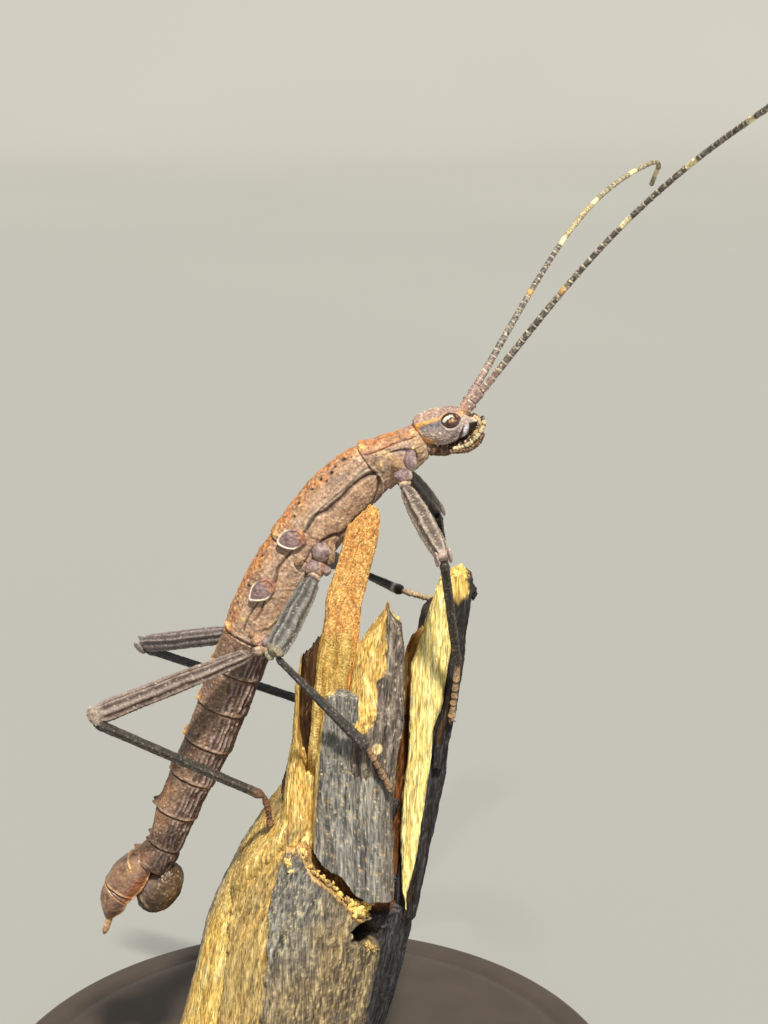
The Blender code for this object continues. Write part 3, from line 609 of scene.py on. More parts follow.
thoraxSkin()
abdomenSkin()
print("trunk skins made")


head = dict(
    back=(9.9, 65.8), pitch=12, power=2.3, inset=0.04, mmPerDegree=0.028, slant=0.42,
    sections=(  # distance from the back, above, below, half width
        (0.0, 1.12, 0.95, 1.15), (0.8, 1.52, 1.36, 1.45), (1.8, 1.68, 1.46, 1.60), (2.8, 1.61, 1.30, 1.62),
        (3.6, 1.44, 1.05, 1.42), (4.3, 0.95, 0.80, 1.08), (4.75, 0.30, 0.45, 0.65)),
    eye=dict(centre=(12.43, 1.28, 67.12), length=1.55, height=1.25, bulge=0.55),
)
headForward = np.array([math.cos(math.radians(head["pitch"])), 0, math.sin(math.radians(head["pitch"]))])
headUp = np.array([-headForward[2], 0, headForward[0]])
headMarks = dict(  # (distance along the head, degrees round it)
    stripe=((2.1, 141), (1.6, 145), (1.0, 145), (0.4, 144), (0.1, 143)),
    patch=((2.0, 160), (1.4, 160), (0.8, 158), (0.4, 157)),
    lowerRim=((0.05, 190), (0.2, 212), (0.45, 236), (0.9, 254), (1.5, 262)),
    jawSeam=((3.72, 182), (3.5, 198), (3.22, 222), (3.1, 246)),
    cheekFold=((3.15, 186), (3.0, 200), (2.6, 214), (1.9, 222), (1.2, 226)),
    gula=((0.9, 224), (1.6, 232), (2.4, 230), (3.0, 224)),
    brow=((2.15, 128), (2.6, 122), (3.2, 124), (3.6, 134)),
    socket=((3.75, 128), (4.0, 140), (4.25, 160)),
)


# A point of the head: superellipse rings along its own axis, sizes on smooth curves.
def headPoint(h, angle, lift=0.0):
    table = np.array(head["sections"])
    above, below, half = (smoothValues(table[:, 0], table[:, i], np.clip(h, 0, 4.75)) for i in (1, 2, 3))
    c, q = rounded(np.radians(angle), head["power"])
    across = c * (half + lift)
    up = q * (np.where(q > 0, above, below) + lift)
    h = h - head["slant"] * (1
        - fade(0, 2.2, h)) * up / 1.05  # the back of the head leans: crown behind, chin ahead
    origin = np.array([head["back"][0], 0, head["back"][1]])
    return (origin + h[..., None] * headForward + up[..., None] * headUp
            + across[..., None] * np.array([0, 1, 0]))


# The head's rings pushed out by noises, grains and marks, and sunk into a ring round the eye.
def headSkin():
    reach = 4.85 * np.sin(np.linspace(0, np.pi / 2, 220)) ** 1.15
    h, angle = np.meshgrid(reach, 90 + 360 * np.arange(240) / 240, indexing="ij")
    folded = np.where(angle > 270, 540 - angle, angle)
    at = coords(h, folded * head["mmPerDegree"])
    base = headPoint(h, angle)
    marks = {name: lineDistance(at, smoothLine(np.array(points) * (1, head["mmPerDegree"]), 40))
             for name, points in headMarks.items()}
    rough, lumps, grain, own = texture(base, (0.7, 0.28, 0.17), 61)
    big, bigOwn = granules(base, 0.34, 67)
    crown = 1 - fade(126, 138, folded)
    under = fade(226, 246, folded + rough * 6)
    eyeAt = np.array([2.78, 154 * head["mmPerDegree"]])
    eyeAway = np.linalg.norm((at - eyeAt) / (0.86, 0.72), axis=-1)
    # a narrow pale sliver on the jaw, slightly raised: a painted highlight
    jawHighlightBand = fade(3.5, 3.62, h + (folded - 208) * 0.006) * (1 - fade(3.86, 3.98, h + (folded - 208) * 0.006))
    jawHighlightBand = jawHighlightBand * fade(174, 184, folded) * (1 - fade(226, 240, folded))
    lift = -head["inset"] + rough * 0.035 + lumps * 0.02 + grain * 0.028 * (own > 0.35)
    lift += crown * (big * 0.06 * (bigOwn > 0.35) + lumps * 0.03) + big * 0.03 * (bigOwn > 0.85)
    lift += 0.05 * bell(marks["stripe"], 0.2) - 0.03 * bell(marks["patch"], 0.2)
    lift += -0.13 * bell(marks["jawSeam"], 0.08) + jawHighlightBand * 0.06 - 0.05 * bell(marks["cheekFold"], 0.12)
    lift += (0.03 * bell(marks["brow"], 0.12) + 0.06 * bell(marks["socket"], 0.12)
        + 0.04 * bell(marks["lowerRim"], 0.16) + 0.05 * bell(marks["gula"], 0.16))
    lift += 0.06 * bell(eyeAway - 1.0, 0.14) - 0.14 * bell(eyeAway - 0.84, 0.1)
    lift += -0.25 * bell(h + 0.05, 0.14)

    skin = layers(plainPaint(base, 166, 146, 138), [
        (fade(0, 0.9, rough) * 0.6, 196, 176, 164),
        (fade(0.1, 0.9, -rough) * 0.7, 112, 92, 92),
        (crown * 0.8, 164, 132, 116),
        (crown * fade(-0.1, 0.6, lumps) * 0.7, 206, 174, 144),
        (bell(marks["gula"], 0.22) * 0.7, 188, 172, 166),
        (crown * bell(h - 3.1, 0.7) * 0.5, 118, 100, 104),
        (under * 0.85, 104, 66, 42),
        (fade(178, 206, folded) * bell(h - 0.35, 0.75) * 0.85, 196, 142, 76),
        (bell(marks["cheekFold"], 0.2) * 0.45, 96, 82, 90),
        ((own > 0.72) * grain * 0.7, 206, 188, 174),
        ((own < 0.2) * grain * 0.5, 72, 56, 58),
        ((bigOwn > 0.88) * big, 232, 218, 196),
        (bell(marks["patch"], 0.26) * 0.85, 98, 102, 114)])
    width = 0.14 + 0.14 * (1 - fade(0, 1.7, h))
    skin = layers(skin, [
        (bell(marks["stripe"], width) * (1 - fade(1.85, 2.2, h)) * (0.75 + 0.25 * fade(-0.3, 0.3, lumps)),
         228, 164, 72),
        (bell(h - 0.02, 0.16) * (1 - fade(188, 200, folded)) * fade(118, 128, folded), 236, 170, 62),
        (bell(marks["lowerRim"], 0.2) * 0.85, 210, 150, 66)])
    eyeRing = bell(eyeAway - 1.04, 0.1) * (0.3 + 0.7 * fade(-0.2, 0.4, lumps))
    skin = layers(skin, [
        (eyeRing * (1 - fade(140, 152, folded)), 230, 180, 108),
        (eyeRing * fade(152, 166, folded) * 0.6, 196, 176, 160),
        ((1 - fade(0.78, 0.92, eyeAway)) * 0.95, 34, 20, 16),
        (bell(np.linalg.norm(at - (3.85, 128 * head["mmPerDegree"]), axis=-1), 0.34) * 0.85, 226, 164, 92),
        (bell(np.linalg.norm(at - (4.3, 150 * head["mmPerDegree"]), axis=-1), 0.26) * 0.7, 206, 178, 150),
        (bell(marks["jawSeam"], 0.08) * 0.95, 26, 18, 16),
        # painted highlight on the jaw
        (jawHighlightBand * 0.95, 206, 204, 212),
        (bell(h - 3.46 + (folded - 208) * 0.006, 0.05) * fade(178, 188,
            folded) * (1 - fade(228, 240, folded)), 30, 22, 20),
        (fade(4.0, 4.1, h + (folded - 208) * 0.004) * fade(166, 178, folded), 34, 24, 20)])
    surface("headSkin", headPoint(h, angle, lift), cuticle, skin, slotName="head", stands=["head"])


# Glossy eye: a clear coat over the painted, finely cellular colour.
def faceted(name):
    mat = paintedSkin(name, dict(mottleScale=2600, mottle=0.12, grainScale=9000, grain=0.08, roughness=0.28,
                                 bump=0.25, relief=0.015, specular=0.6, coat=0.7))
    mat.node_tree.nodes["Principled BSDF"].inputs["Coat Roughness"].default_value = 0.08
    return mat


# Half-sunk ellipsoids with a pale bar on the upper hind side, partly the eye's pattern and partly a painted
# highlight, brown mottles and a dark edge.
def makeEyes():
    mat, spec = faceted("eyeSurface"), head["eye"]
    for side, sign in (("right", -1), ("left", 1)):
        x, y, z = spec["centre"]
        axes = np.array([[0, sign * spec["bulge"], 0], headForward * spec["length"] / 2,
                         headUp * spec["height"] / 2])
        grid, way = ball((x, y * sign, z), axes, 50, 72)
        along, up = way[..., 1], way[..., 2]
        at = coords(along, up)
        patches = noise(grid / 0.24, 71)
        skin = layers(plainPaint(grid, 74, 40, 28), [
            (fade(-0.1, 0.5, patches) * (1 - fade(0.2, 0.9, -up)) * 0.9, 190, 140, 96),
            (fade(0.1, 0.6, -patches) * 0.7, 48, 24, 18),
            (fade(0.15, 0.7, -up) * 0.6, 62, 26, 26),
            (bell(np.linalg.norm((at - (0.22, 0.05)) / (0.16, 0.22), axis=-1), 1), 226, 184, 138)])
        # the cream bar: partly the eye's own pattern, partly a painted highlight
        paleBarAndHighlight = lineDistance(at, np.array([[-0.7, 0.1], [-0.5, 0.34], [-0.2, 0.54], [0.06, 0.62]]))
        paleBarAndHighlight = paleBarAndHighlight + 0.1 * noise(grid / 0.3, 73) + 0.06 * fade(-0.3, 0.2, along)
        skin = layers(skin, [
            (bell(paleBarAndHighlight - 0.25, 0.09) * 0.9, 42, 22, 16),
            (1 - fade(0.13, 0.24, paleBarAndHighlight), 240, 226, 204),
            (fade(0.86, 0.95, np.hypot(along, up)), 40, 22, 18)])
        surface("eye_" + side + "_glossy", grid, mat, skin, slotName="eye", stands=["eye_" + side])


mouth = dict(
    spine=((12.4, 64.72), (13.2, 64.68), (13.95, 64.92), (14.55, 65.4), (14.95, 66.1)),
    deep=(0.3, 0.55, 0.66, 0.6, 0.3), wide=(0.6, 0.9, 1.0, 0.85, 0.45),
    palp=((12.65, 0.85, 64.6), (13.5, 1.05, 64.8), (14.15, 1.1, 65.17), (14.65, 1.08, 65.66),
          (15.0, 1.0, 66.2),
          (15.22, 0.9, 66.7), (15.1, 0.8, 66.98)), palpRadius=0.15, joints=5,
    lip=((12.4, 0.8, 64.42), (13.2, 1.0, 64.4), (13.95, 1.08, 64.6), (14.55, 1.08, 64.95),
         (14.95, 1.03, 65.42),
         (15.15, 0.95, 66.0)), lipRadius=0.17,
)


# A jointed feeler: its radius swells to the end of each joint, pinches between two, and is grainy.
def knobblyTube(path, radius, joints, seed, normal, columns=20, rowsPerJoint=20, rough=0.3):
    rows = joints * rowsPerJoint
    line = smoothLine(path, rows)
    t = np.linspace(0, joints, rows)
    part = t - np.floor(np.clip(t, 0, joints - 1e-6))
    swell = 0.82 + 0.26 * np.sin(np.pi * np.clip(part, 0, 1)) ** 0.7 + 0.1 * part
    shape = radius * swell * (1 - 0.9 * fade(joints - 0.18, joints, t) ** 2)
    grid = tubeGrid(line, shape, shape, normal, columns)
    bumps = layered(grid / (radius * 0.9), seed, 3)
    grain, own = granules(grid, radius * 0.75, seed + 5)
    lift = radius * rough * (0.5 * bumps + grain * (own > 0.5))
    grid = tubeGrid(line, shape, shape, normal, columns, lift)
    pinch = bell(np.minimum(part, 1 - part), 0.09)[:, None]
    return grid, bumps, grain * (own > 0.5), pinch


# A folded tube, a throat under it, two lips and four palps: tubes along smooth lines.
def makeMouth():
    rows = np.linspace(0, 1, 120)
    line = smoothLine(np.array(mouth["spine"])[:, [0, 1]], 120)
    path = coords(line[:, 0], 0 * rows, line[:, 1])
    places = np.linspace(0, 1, len(mouth["deep"]))
    deep, wide = (smoothValues(places, mouth[key], rows) for key in ("deep", "wide"))
    grid = tubeGrid(path, deep, wide, (0, 1, 0), 110)
    folds = noise(coords(rows[:, None] * 9 + grid[..., 1] * 0.4, grid[..., 1] * 3, grid[..., 2] * 2), 81)
    lumps = layered(grid / 0.25, 83, 3)
    grain, own = granules(grid, 0.22, 85)
    lift = folds * 0.12 + lumps * 0.05 + grain * (own > 0.6) * 0.08
    grid = tubeGrid(path, deep, wide, (0, 1, 0), 110, lift)
    # dark brown, partly painted shade in the gap between the palps, and near black in the folds as painted
    # shade
    skin = layers(plainPaint(grid, 74, 52, 40), [
        (fade(0.0, 0.7, folds), 128, 96, 66),
        (fade(0.1, 0.6, -folds), 28, 18, 14),
        (grain * (own > 0.6), 226, 210, 170),
        (fade(0.75, 0.95, rows)[:, None] * 0.8, 206, 176, 116)])
    shells = [shell(grid, skin)]
    # throat: a dark soft swelling from under the neck to the roots of the palps, its dark brown partly
    # painted shade under the head
    t = np.linspace(0, 1, 90)
    path = smoothLine(((9.9, 0, 64.85), (10.8, 0, 64.72), (11.6, 0, 64.6), (12.3, 0, 64.5),
        (12.8, 0, 64.6)), 90)
    thick = smoothValues((0, 0.25, 0.6, 0.85, 1), (0.5, 0.8, 0.74, 0.5, 0.25), t)
    grid = tubeGrid(path, thick, thick * 1.15, (0, 1, 0), 90)
    creases = noise(coords(t[:, None] * 11 + grid[..., 1] * 0.5, grid[..., 1] * 2, grid[..., 2] * 2), 401)
    lumps = layered(grid / 0.3, 403, 3)
    grain, own = granules(grid, 0.24, 405)
    skin = blend(plainPaint(grid, 86, 58, 42), fade(0, 0.7, creases), linear(138, 104, 78))
    skin = layers(skin, [
        (fade(0.1, 0.7, -creases - lumps * 0.4), 42, 26, 20),
        ((1 - fade(0.1, 0.4, t))[:, None] * fade(-0.2, 0.5, lumps) * 0.8, 196, 178, 150),
        (grain * (own > 0.75) * 0.7, 206, 184, 148)])
    shells.append(shell(tubeGrid(path, thick, thick * 1.15, (0, 1, 0), 90, creases * 0.07 + lumps * 0.04),
        skin))
    # upper lip: a pale ridge down the front of the face
    for side in (-1, 1):
        lip = np.array([(14.35, 0.3 * side, 67.3), (14.75, 0.4 * side, 66.9), (15.0, 0.45 * side, 66.35),
                        (14.85, 0.4 * side, 65.9)])
        grid, bumps, grain, pinch = knobblyTube(lip, 0.15, 2, 87, (0, 1, 0))
        skin = blend(plainPaint(grid, 196, 160, 108), fade(0, 0.8, bumps), linear(232, 212, 164))
        shells.append(shell(grid, skin))
    joined("mouthpartsSkin", shells, cuticle, "mouth", ["mouthparts"])
    for side, sign in (("right", -1), ("left", 1)):
        shells = []
        for path, radius, seed, dark in ((mouth["palp"], mouth["palpRadius"], 91, 0),
                                         (mouth["lip"], mouth["lipRadius"], 95, 1)):
            grid, bumps, grain, pinch = knobblyTube(np.array(path) * (1, sign, 1), radius, mouth["joints"],
                                                    seed, (0, 1, 0.2), rough=0.36)
            # the second strand's darker browns: partly its own colour, partly painted shade under the first
            # strand
            plain, light, deep = (((206, 184, 140), (244, 230, 190), (120, 84, 52)),
                                  ((96, 66, 42), (170, 138, 92), (46, 30, 22)))[dark]
            skin = blend(plainPaint(grid, *plain), fade(0, 0.8, bumps) * 0.8, linear(*light))
            skin = layers(skin, [
                (fade(0.1, 0.8, -bumps) * 0.8, *deep),
                (grain * (0.6 - 0.35 * dark), 246, 236, 200),
                (pinch * 0.9, 64, 42, 28)])
            shells.append(shell(grid, skin))
        joined("palps_" + side, shells, cuticle, "mouth", ["palp_" + side])


antenna = dict(
    length=44.5, root=(13.5, 0.65, 67.5), points=34, joints=54, scape=1.3, scapeRadius=0.48,
    pedicelRadius=0.39,
    radii=(0.34, 0.25), firstBand=13.1, bandStep=7.4, bandWidth=1.15, inset=0.03,
    headings=dict(  # constant, t and t squared terms of the climb and the turn, then the curl
        right=((51.5, 21.4, -75.5), (-9.6, 15.3, -120.2), (1.0, 0, 0)),
        left=((49.5, -57.3, 16.8), (42.5, 80.0, -88.0), (0.84, -80.3, 94.8))),
)


# Equal steps whose climb and turn are quadratics of the length, with a curl added near the tip.
def antennaPath(side):
    climbTerms, turnTerms, (begin, down, out) = antenna["headings"][side]
    steps = antenna["points"] - 1
    t = (np.arange(steps) + 0.5) / steps
    share = np.clip((t - begin) / max(1 - begin, 1e-6), 0, 1) ** 1.5
    climb = np.radians(climbTerms[0] + climbTerms[1] * t + climbTerms[2] * t * t + down * share)
    turn = np.radians(turnTerms[0] + turnTerms[1] * t + turnTerms[2] * t * t + out * share)
    step = coords(np.cos(climb) * np.cos(turn), np.cos(climb) * np.sin(turn), np.sin(climb))
    root = np.array(antenna["root"]) * (1, -1 if side == "right" else 1, 1)
    return root + np.vstack([[0, 0, 0], np.cumsum(step * antenna["length"] / steps, axis=0)])


# Scape, pedicel and a ringed flagellum: each ring widens forward and ends in a pale edge.
def makeAntennae():
    rows, columns = 1000, 20
    for side in ("right", "left"):
        path = smoothLine(antennaPath(side), rows)
        along = np.concatenate([[0], np.cumsum(np.linalg.norm(np.diff(path, axis=0), axis=1))])
        t = along / along[-1]
        flagellum = (antenna["radii"][0] + (antenna["radii"][1] - antenna["radii"][0])
            * np.minimum(1, 2.5 * t))
        scape = antenna["scape"]
        radius = np.where(along < scape, antenna["scapeRadius"] * (0.74 + 0.18 * fade(0, 0.5, along)),
                          np.where(along < scape * 1.9, antenna["pedicelRadius"], flagellum))
        spacing = (along[-1] - scape * 1.9) / antenna["joints"]
        turn = np.where(along > scape * 1.9, (along - scape * 1.9) / spacing, 0)
        part = turn % 1.0
        ringed = along > scape * 1.9
        radius = radius - antenna["inset"] + ringed * (0.025 * part**2 - 0.02 * bell(part, 0.12))
        for joint in (scape, scape * 1.9):
            radius = radius - 0.1 * bell(along - joint, 0.07)
        radius = radius * (1 - 0.8 * fade(along[-1] - 0.25, along[-1], along) ** 2)
        grid = tubeGrid(path, radius, radius, (0.2, 1, 0), columns)
        bumps = layered(grid / 0.22, 101, 3)
        grain, own = granules(grid, 0.24, 103)
        knob = grain * (own > 0.72)
        grid = tubeGrid(path, radius, radius, (0.2, 1, 0), columns,
                        bumps * 0.02 + knob * (0.05 + 0.07 * (1 - fade(2, 5, along)))[:, None])
        whole = lambda values: values[:, None]
        base = 1 - fade(2.2, 7.0, along)
        skin = layers(plainPaint(grid, 98, 90, 82), [
            (fade(-0.1, 0.7, bumps) * 0.7, 168, 158, 142),
            (fade(0.1, 0.8, -bumps) * 0.7, 54, 46, 42),
            (whole(base) * 0.85, 170, 140, 130),
            (whole(base) * fade(0.0, 0.6, -bumps) * 0.7, 104, 78, 74),
            (whole(1 - fade(0.3, 1.1, along)) * 0.8, 206, 160, 124)])
        edge = whole(bell(part - 0.93, 0.07) * ringed)
        skin = blend(skin, edge * (0.45 + 0.5 * fade(-0.3, 0.4, bumps)), linear(226, 218, 196))
        washed = (side == "left") * fade(20.2, 20.8, along) * (1 - 0.55 * fade(27.6, 28.4, along))
        skin = blend(skin, whole(washed) * (0.4 + 0.4 * fade(-0.4, 0.4, bumps)), linear(212, 194, 140))
        skin = blend(skin, whole(bell(part, 0.05) * ringed) * 0.6, linear(36, 28, 24))
        step = (along - antenna["firstBand"]
                + antenna["bandStep"] / 2) % antenna["bandStep"] - antenna["bandStep"] / 2
        band = (1 - fade(antenna["bandWidth"] / 2 - 0.12, antenna["bandWidth"] / 2 + 0.12,
                         np.abs(step))) * (along > 10)
        first = 1 - fade(16.5, 17.5, along)  # the innermost band is narrower and darker
        skin = layers(skin, [
            (whole(band * (1 - first)) * 0.9, 242, 228, 176),
            (whole(bell(step, 0.35) * first * (along > 10)) * 0.85, 222, 170, 96),
            (knob * 0.85, 224, 208, 168)])
        bristleBeds.append((grid[:160], path[:160], 50, 0.14, (214, 200, 170)))
        surface("antenna_" + side + "_ringed", grid, legCuticle, skin, slotName="antenna",
                stands=["antenna_" + side])


headSkin()
makeEyes()
makeMouth()
makeAntennae()
print("head and antennae made")


legs = dict(
    fore=dict(hip=(3.1, 2.6, 2.65), root=(2.3, 1.2, 1.1), coxa=0.9, femur=9.6, tibia=10.9,
              femurSize=(1.15, 1.6, 1.25, 1.55), tibiaSize=(0.85, 0.8), ridges=6,
              right=((13.0, -7.0, 48.0), (12.6, -5.85, 42.9), -15),
              left=((12.3, -0.6, 53.0), (13.9, 1.6, 52.5), 5)),
    mid=dict(hip=(15.0, 3.0, 2.1), root=(13.6, 1.4, 1.9), coxa=1.15, femur=9.0, tibia=11.5,
             femurSize=(1.0, 2.3, 1.2, 1.6), tibiaSize=(0.6, 1.0), ridges=7,
             right=((5.6, -8.6, 41.4), (7.5, -8.15, 37.6), 37),
             left=((8.5, 1.4, 51.65), (11.15, 2.95, 50.35), -15)),
    hind=dict(hip=(23.2, 2.6, 1.1), root=(22.2, 1.5, 0.9), coxa=0.85, femur=15.3, tibia=16.8,
              femurSize=(1.1, 1.5, 1.65, 1.3), tibiaSize=(0.9, 0.85), ridges=8,
              right=((-3.15, -5.0, 35.5), (-2.75, -4.0, 32.6), 64),
              left=((0.2, 5.9, 39.7), (1.6, 7.25, 36.3), -57)),
)
kneeDrop, tarsusRadius, pieceGap = 0.32, 0.3, 0.06
# The left fore and mid legs, on the far side, have darker thighs and shins as painted shade.
legColoursAndShade = dict(  # ridge, groove, knee, tibia, pale speck of the tibia, foot
    fore_right=((166, 152, 138), (90, 76, 66), (196, 170, 158), (74, 66, 56), (150, 136, 110),
                (170, 140, 104)),
    fore_left=((104, 96, 90), (56, 48, 44), (140, 126, 116), (58, 52, 46), (120, 110, 90), (166, 138, 102)),
    mid_right=((132, 128, 122), (70, 66, 62), (150, 140, 112), (78, 74, 70), (156, 148, 132), (146, 116, 88)),
    mid_left=((92, 84, 80), (54, 46, 42), (140, 130, 112), (38, 34, 32), (96, 90, 80), (180, 156, 122)),
    hind_right=((144, 128, 116), (78, 60, 54), (162, 146, 130), (80, 74, 66), (146, 138, 120), (128, 92, 66)),
    hind_left=((146, 134, 130), (92, 80, 78), (176, 166, 160), (86, 86, 86), (150, 148, 142),
               (146, 124, 100)),
)
thighShape = dict(  # half as seen from the side: depth at seven places from hip to knee
    fore=(0.95, 1.0, 1.45, 1.8, 1.7, 1.35, 0.75), mid=(1.15, 1.35, 1.55, 1.75, 1.85, 1.75, 1.0),
    hind=(0.9, 1.1, 1.3, 1.5, 1.58, 1.65, 0.9))
hipLobes = dict(  # from the hip: forward, outward, up, then half sizes the same way, and the tint
    fore=((0.52, -0.95, 1.7, 0.56, 0.75, 1.0, "lilac"), (-0.5, -0.75, 1.45, 0.48, 0.7, 0.5, "tan"),
          (-0.02, -0.4, 0.66, 0.76, 0.7, 0.6, "lilac"), (0.04, -0.08, 0.08, 0.54, 0.46, 0.3, "tan")),
    mid=((0.62, -0.75, 1.85, 0.85, 0.75, 0.85, "lilac"), (-0.1, -0.3, 0.62, 0.66, 0.62, 0.62, "lilac"),
         (1.3, -0.85, 1.8, 0.4, 0.6, 1.15, "tan"), (0.95, -0.4, 0.35, 0.4, 0.45, 0.42, "lilac"),
         (-1.35, -0.75, 1.15, 0.42, 0.4, 0.46, "tan"), (0.0, -0.05, 0.05, 0.5, 0.4, 0.3, "tan")),
    hind=((-0.35, -0.5, 0.75, 0.5, 0.6, 0.5, "tan"), (0.3, -0.4, 0.5, 0.46, 0.6, 0.5, "lilac"),
          (-0.75, -0.6, 1.3, 0.36, 0.5, 0.4, "tan"), (0.05, -0.05, 0.05, 0.5, 0.4, 0.36, "tan")),
)


# A point beside the centreline: out along Y and below it, square to it.
def besideSpine(distance, out, below):
    centre, slope = spineAt(np.array(distance, float))
    tilt = math.radians(float(slope))
    return np.array([centre[0] + math.sin(tilt) * below, out, centre[1] - math.cos(tilt) * below])


# A vector divided by its length.
def unit(vector):
    return vector / np.linalg.norm(vector)


# The knee on the circle that both bone lengths allow; turn 0 puts it straight outward.
def kneeOf(hip, ankle, femur, tibia, turn, sign):
    reach = np.linalg.norm(ankle - hip)
    line = (ankle - hip) / reach
    along = (reach**2 + femur**2 - tibia**2) / (2 * reach)
    radius = math.sqrt(max(femur**2 - along**2, 0))
    outward = np.array([0.0, sign, 0.0])
    outward = unit(outward - line * (outward @ line))
    lifted = np.cross(line, outward)
    return hip + line * along + (outward * math.cos(math.radians(turn))
                                 + lifted * math.sin(math.radians(turn))) * radius


# Lengthwise ribs round a limb: the positive part of a cosine of the angle, raised to sharpen it.
def ribbed(rows, columns, count, sharpness=3.0, wobble=0.0):
    angle = 2 * np.pi * np.arange(columns) / columns + np.zeros((rows, 1)) + wobble
    return (0.5 + 0.5 * np.cos(count * angle)) ** sharpness


# Pale ribs and dark grooves, broken up by grains and noise.
def limbPaint(grid, rib, ridgeColour, grooveColour, seed, specks=0.8):
    rough, lumps, grain, own = texture(grid, (0.8, 0.28, 0.2), seed)
    skin = plainPaint(grid, *grooveColour)
    skin = layers(skin, [
        (rib * 0.9 + 0.1 + rough * 0.12, *ridgeColour),
        (fade(0.1, 0.9, -rough) * 0.55, linear(*grooveColour) * 0.7),
        ((own > specks) * grain * 0.8, np.minimum(linear(*ridgeColour) * 1.7, 0.85)),
        ((own < 0.15) * grain * 0.6, linear(*grooveColour) * 0.5)])
    return skin, rough, lumps, grain, own


# A short barrel from the body to the hip, covered by the rounded lobes of the joint.
def makeCoxa(tag, pair, spec, root, hip, normal, seed, sign):
    out = unit(hip - root)
    rows, columns = 44, 48
    t = np.linspace(0, 1, rows)
    path = root + (t * np.linalg.norm(hip - out * pieceGap - root))[:, None] * out
    radius = spec["coxa"] * smoothValues((0, 0.5, 0.82, 1), (0.8, 0.66, 0.56, 0.42), t)
    grid = tubeGrid(path, radius, radius, normal, columns)
    skin, rough, lumps, grain, own = limbPaint(grid, np.ones(grid.shape[:2]), (150, 118, 100), (96, 70, 60),
                                               seed, 0.86)
    shells = [shell(tubeGrid(path, radius, radius, normal, columns, rough * 0.06 + lumps * 0.03), skin)]
    for k, (x, y, z, rx, ry, rz, tint) in enumerate(hipLobes[pair]):
        lobe, way = ball(hip + np.array([x, y * sign, z]), np.diag([rx, ry, rz]), 30, 40,
                         lambda way: 0.12 * layered(way * 1.3 + k * 3.1, seed + 5, 3))
        pale, deep = (((150, 128, 128), (96, 76, 76))
            if tint == "lilac" else ((176, 142, 106), (108, 78, 58)))
        skin, rough, lumps, grain, own = limbPaint(lobe, np.ones(lobe.shape[:2]) * 0.8, pale, deep,
                                                   seed + 3 * k, 0.9)
        mottle = noise(lobe / 0.5, seed + 31 + k)
        skin = blend(skin, fade(0.1, 0.6, mottle) * 0.55, linear(178, 150, 128))
        skin = blend(skin, fade(0.15, 0.7, -mottle) * 0.6, linear(84, 62, 58))
        edge = bell(way[..., 2] + 0.62 + 0.2 * rough, 0.16) + 0.7 * bell(way[..., 0] - 0.8, 0.14)
        skin = blend(skin, edge * 0.55, linear(216, 196, 160))
        skin = blend(skin, fade(0.72, 0.95, -way[..., 2]) * 0.8, linear(60, 42, 34))
        lobe = lobe + (way @ np.diag([rx, ry, rz])) * (lumps * 0.06 + grain * 0.05 * (own > 0.6))[..., None]
        shells.append(shell(lobe, skin))
    joined(tag + "coxaSkin", shells, legCuticle, "femur", [tag + "coxa"])


# A thigh with ribs along it, a bud at the hip and, at the knee, two side lobes set with blunt teeth.
def makeFemur(tag, pair, spec, paint, hip, knee, normal, seed):
    broad = spec["femurSize"][3]
    rows, columns = 200, 72
    t = np.linspace(0, 1, rows)
    thigh = unit(knee - hip)
    start, stop = hip + thigh * pieceGap, knee - thigh * pieceGap
    path = start + (stop - start) * t[:, None]
    depth = smoothValues((0.0, 0.08, 0.2, 0.45, 0.75, 0.93, 1.0), np.array(thighShape[pair]), t) / 2
    width = broad / 2 * smoothValues((0, 0.2, 0.45, 0.8, 1), (0.6, 0.8, 1, 0.92, 0.6), t)
    neck = bell(t - 0.055, 0.02)
    body = fade(0.05, 0.13, t) * (1 - fade(0.93, 0.99, t))
    grid = tubeGrid(path, depth, width, normal, columns, power=2.4)
    wobble = (noise(coords(t * 5, t * 0, t * 0 + seed), seed) * 0.1)[:, None]
    rib = ribbed(rows, columns, spec["ridges"], 1.6, wobble)
    skin, rough, lumps, grain, own = limbPaint(grid, rib * body[:, None] + 0.4 * (1 - body[:, None]),
                                               paint[0], paint[1], seed)
    lift = (-0.07 + body[:, None] * rib * 0.15 + rough * 0.03 + lumps * 0.02
        + grain * 0.04 * (own > 0.4) * (0.3 + rib))
    lift -= 0.08 * neck[:, None]
    kneeShare = fade(0.93, 0.98, t)[:, None]
    skin = layers(skin, [
        (kneeShare * 0.8, *paint[2]),
        (neck[:, None] * 0.7, 70, 52, 44),
        ((1 - fade(0.0, 0.05, t))[:, None] * 0.7, 214, 188, 150)])
    hide = tubeGrid(path, depth, width, normal, columns, lift, power=2.4)
    bristleBeds.append((hide, path, 170, 0.2, (190, 180, 164)))
    shells = [shell(hide, skin)]
    for sign in (-1, 1):  # side lobes of the knee
        middle = knee + normal * sign * width[-30] * 0.82 - thigh * 0.12
        up = np.cross(normal, thigh)
        axes = [thigh * 0.4, normal * 0.16, up * depth[-30] * (0.5 if pair == "mid" else 0.9)]
        lobe, way = ball(middle, axes, 26, 34, lambda way: 0.1 * noise(way * 2.4, seed + 7))
        teeth, tooth = granules(lobe, 0.2, seed + 9)
        lobe = lobe + (way @ np.array(axes)) * (teeth * (tooth > 0.4) * 0.14)[..., None]
        skin = blend(plainPaint(lobe, *paint[2]),
                     fade(-0.3, 0.6, -noise(lobe / 0.3, seed)) * 0.8, linear(*paint[0]) * 0.6)
        shells.append(shell(lobe,
            blend(skin, teeth * (tooth > 0.4) * 0.6, np.minimum(linear(*paint[2]) * 1.2, 0.8))))
    joined(tag + "femurSkin", shells, legCuticle, "femur", [tag + "femur"])


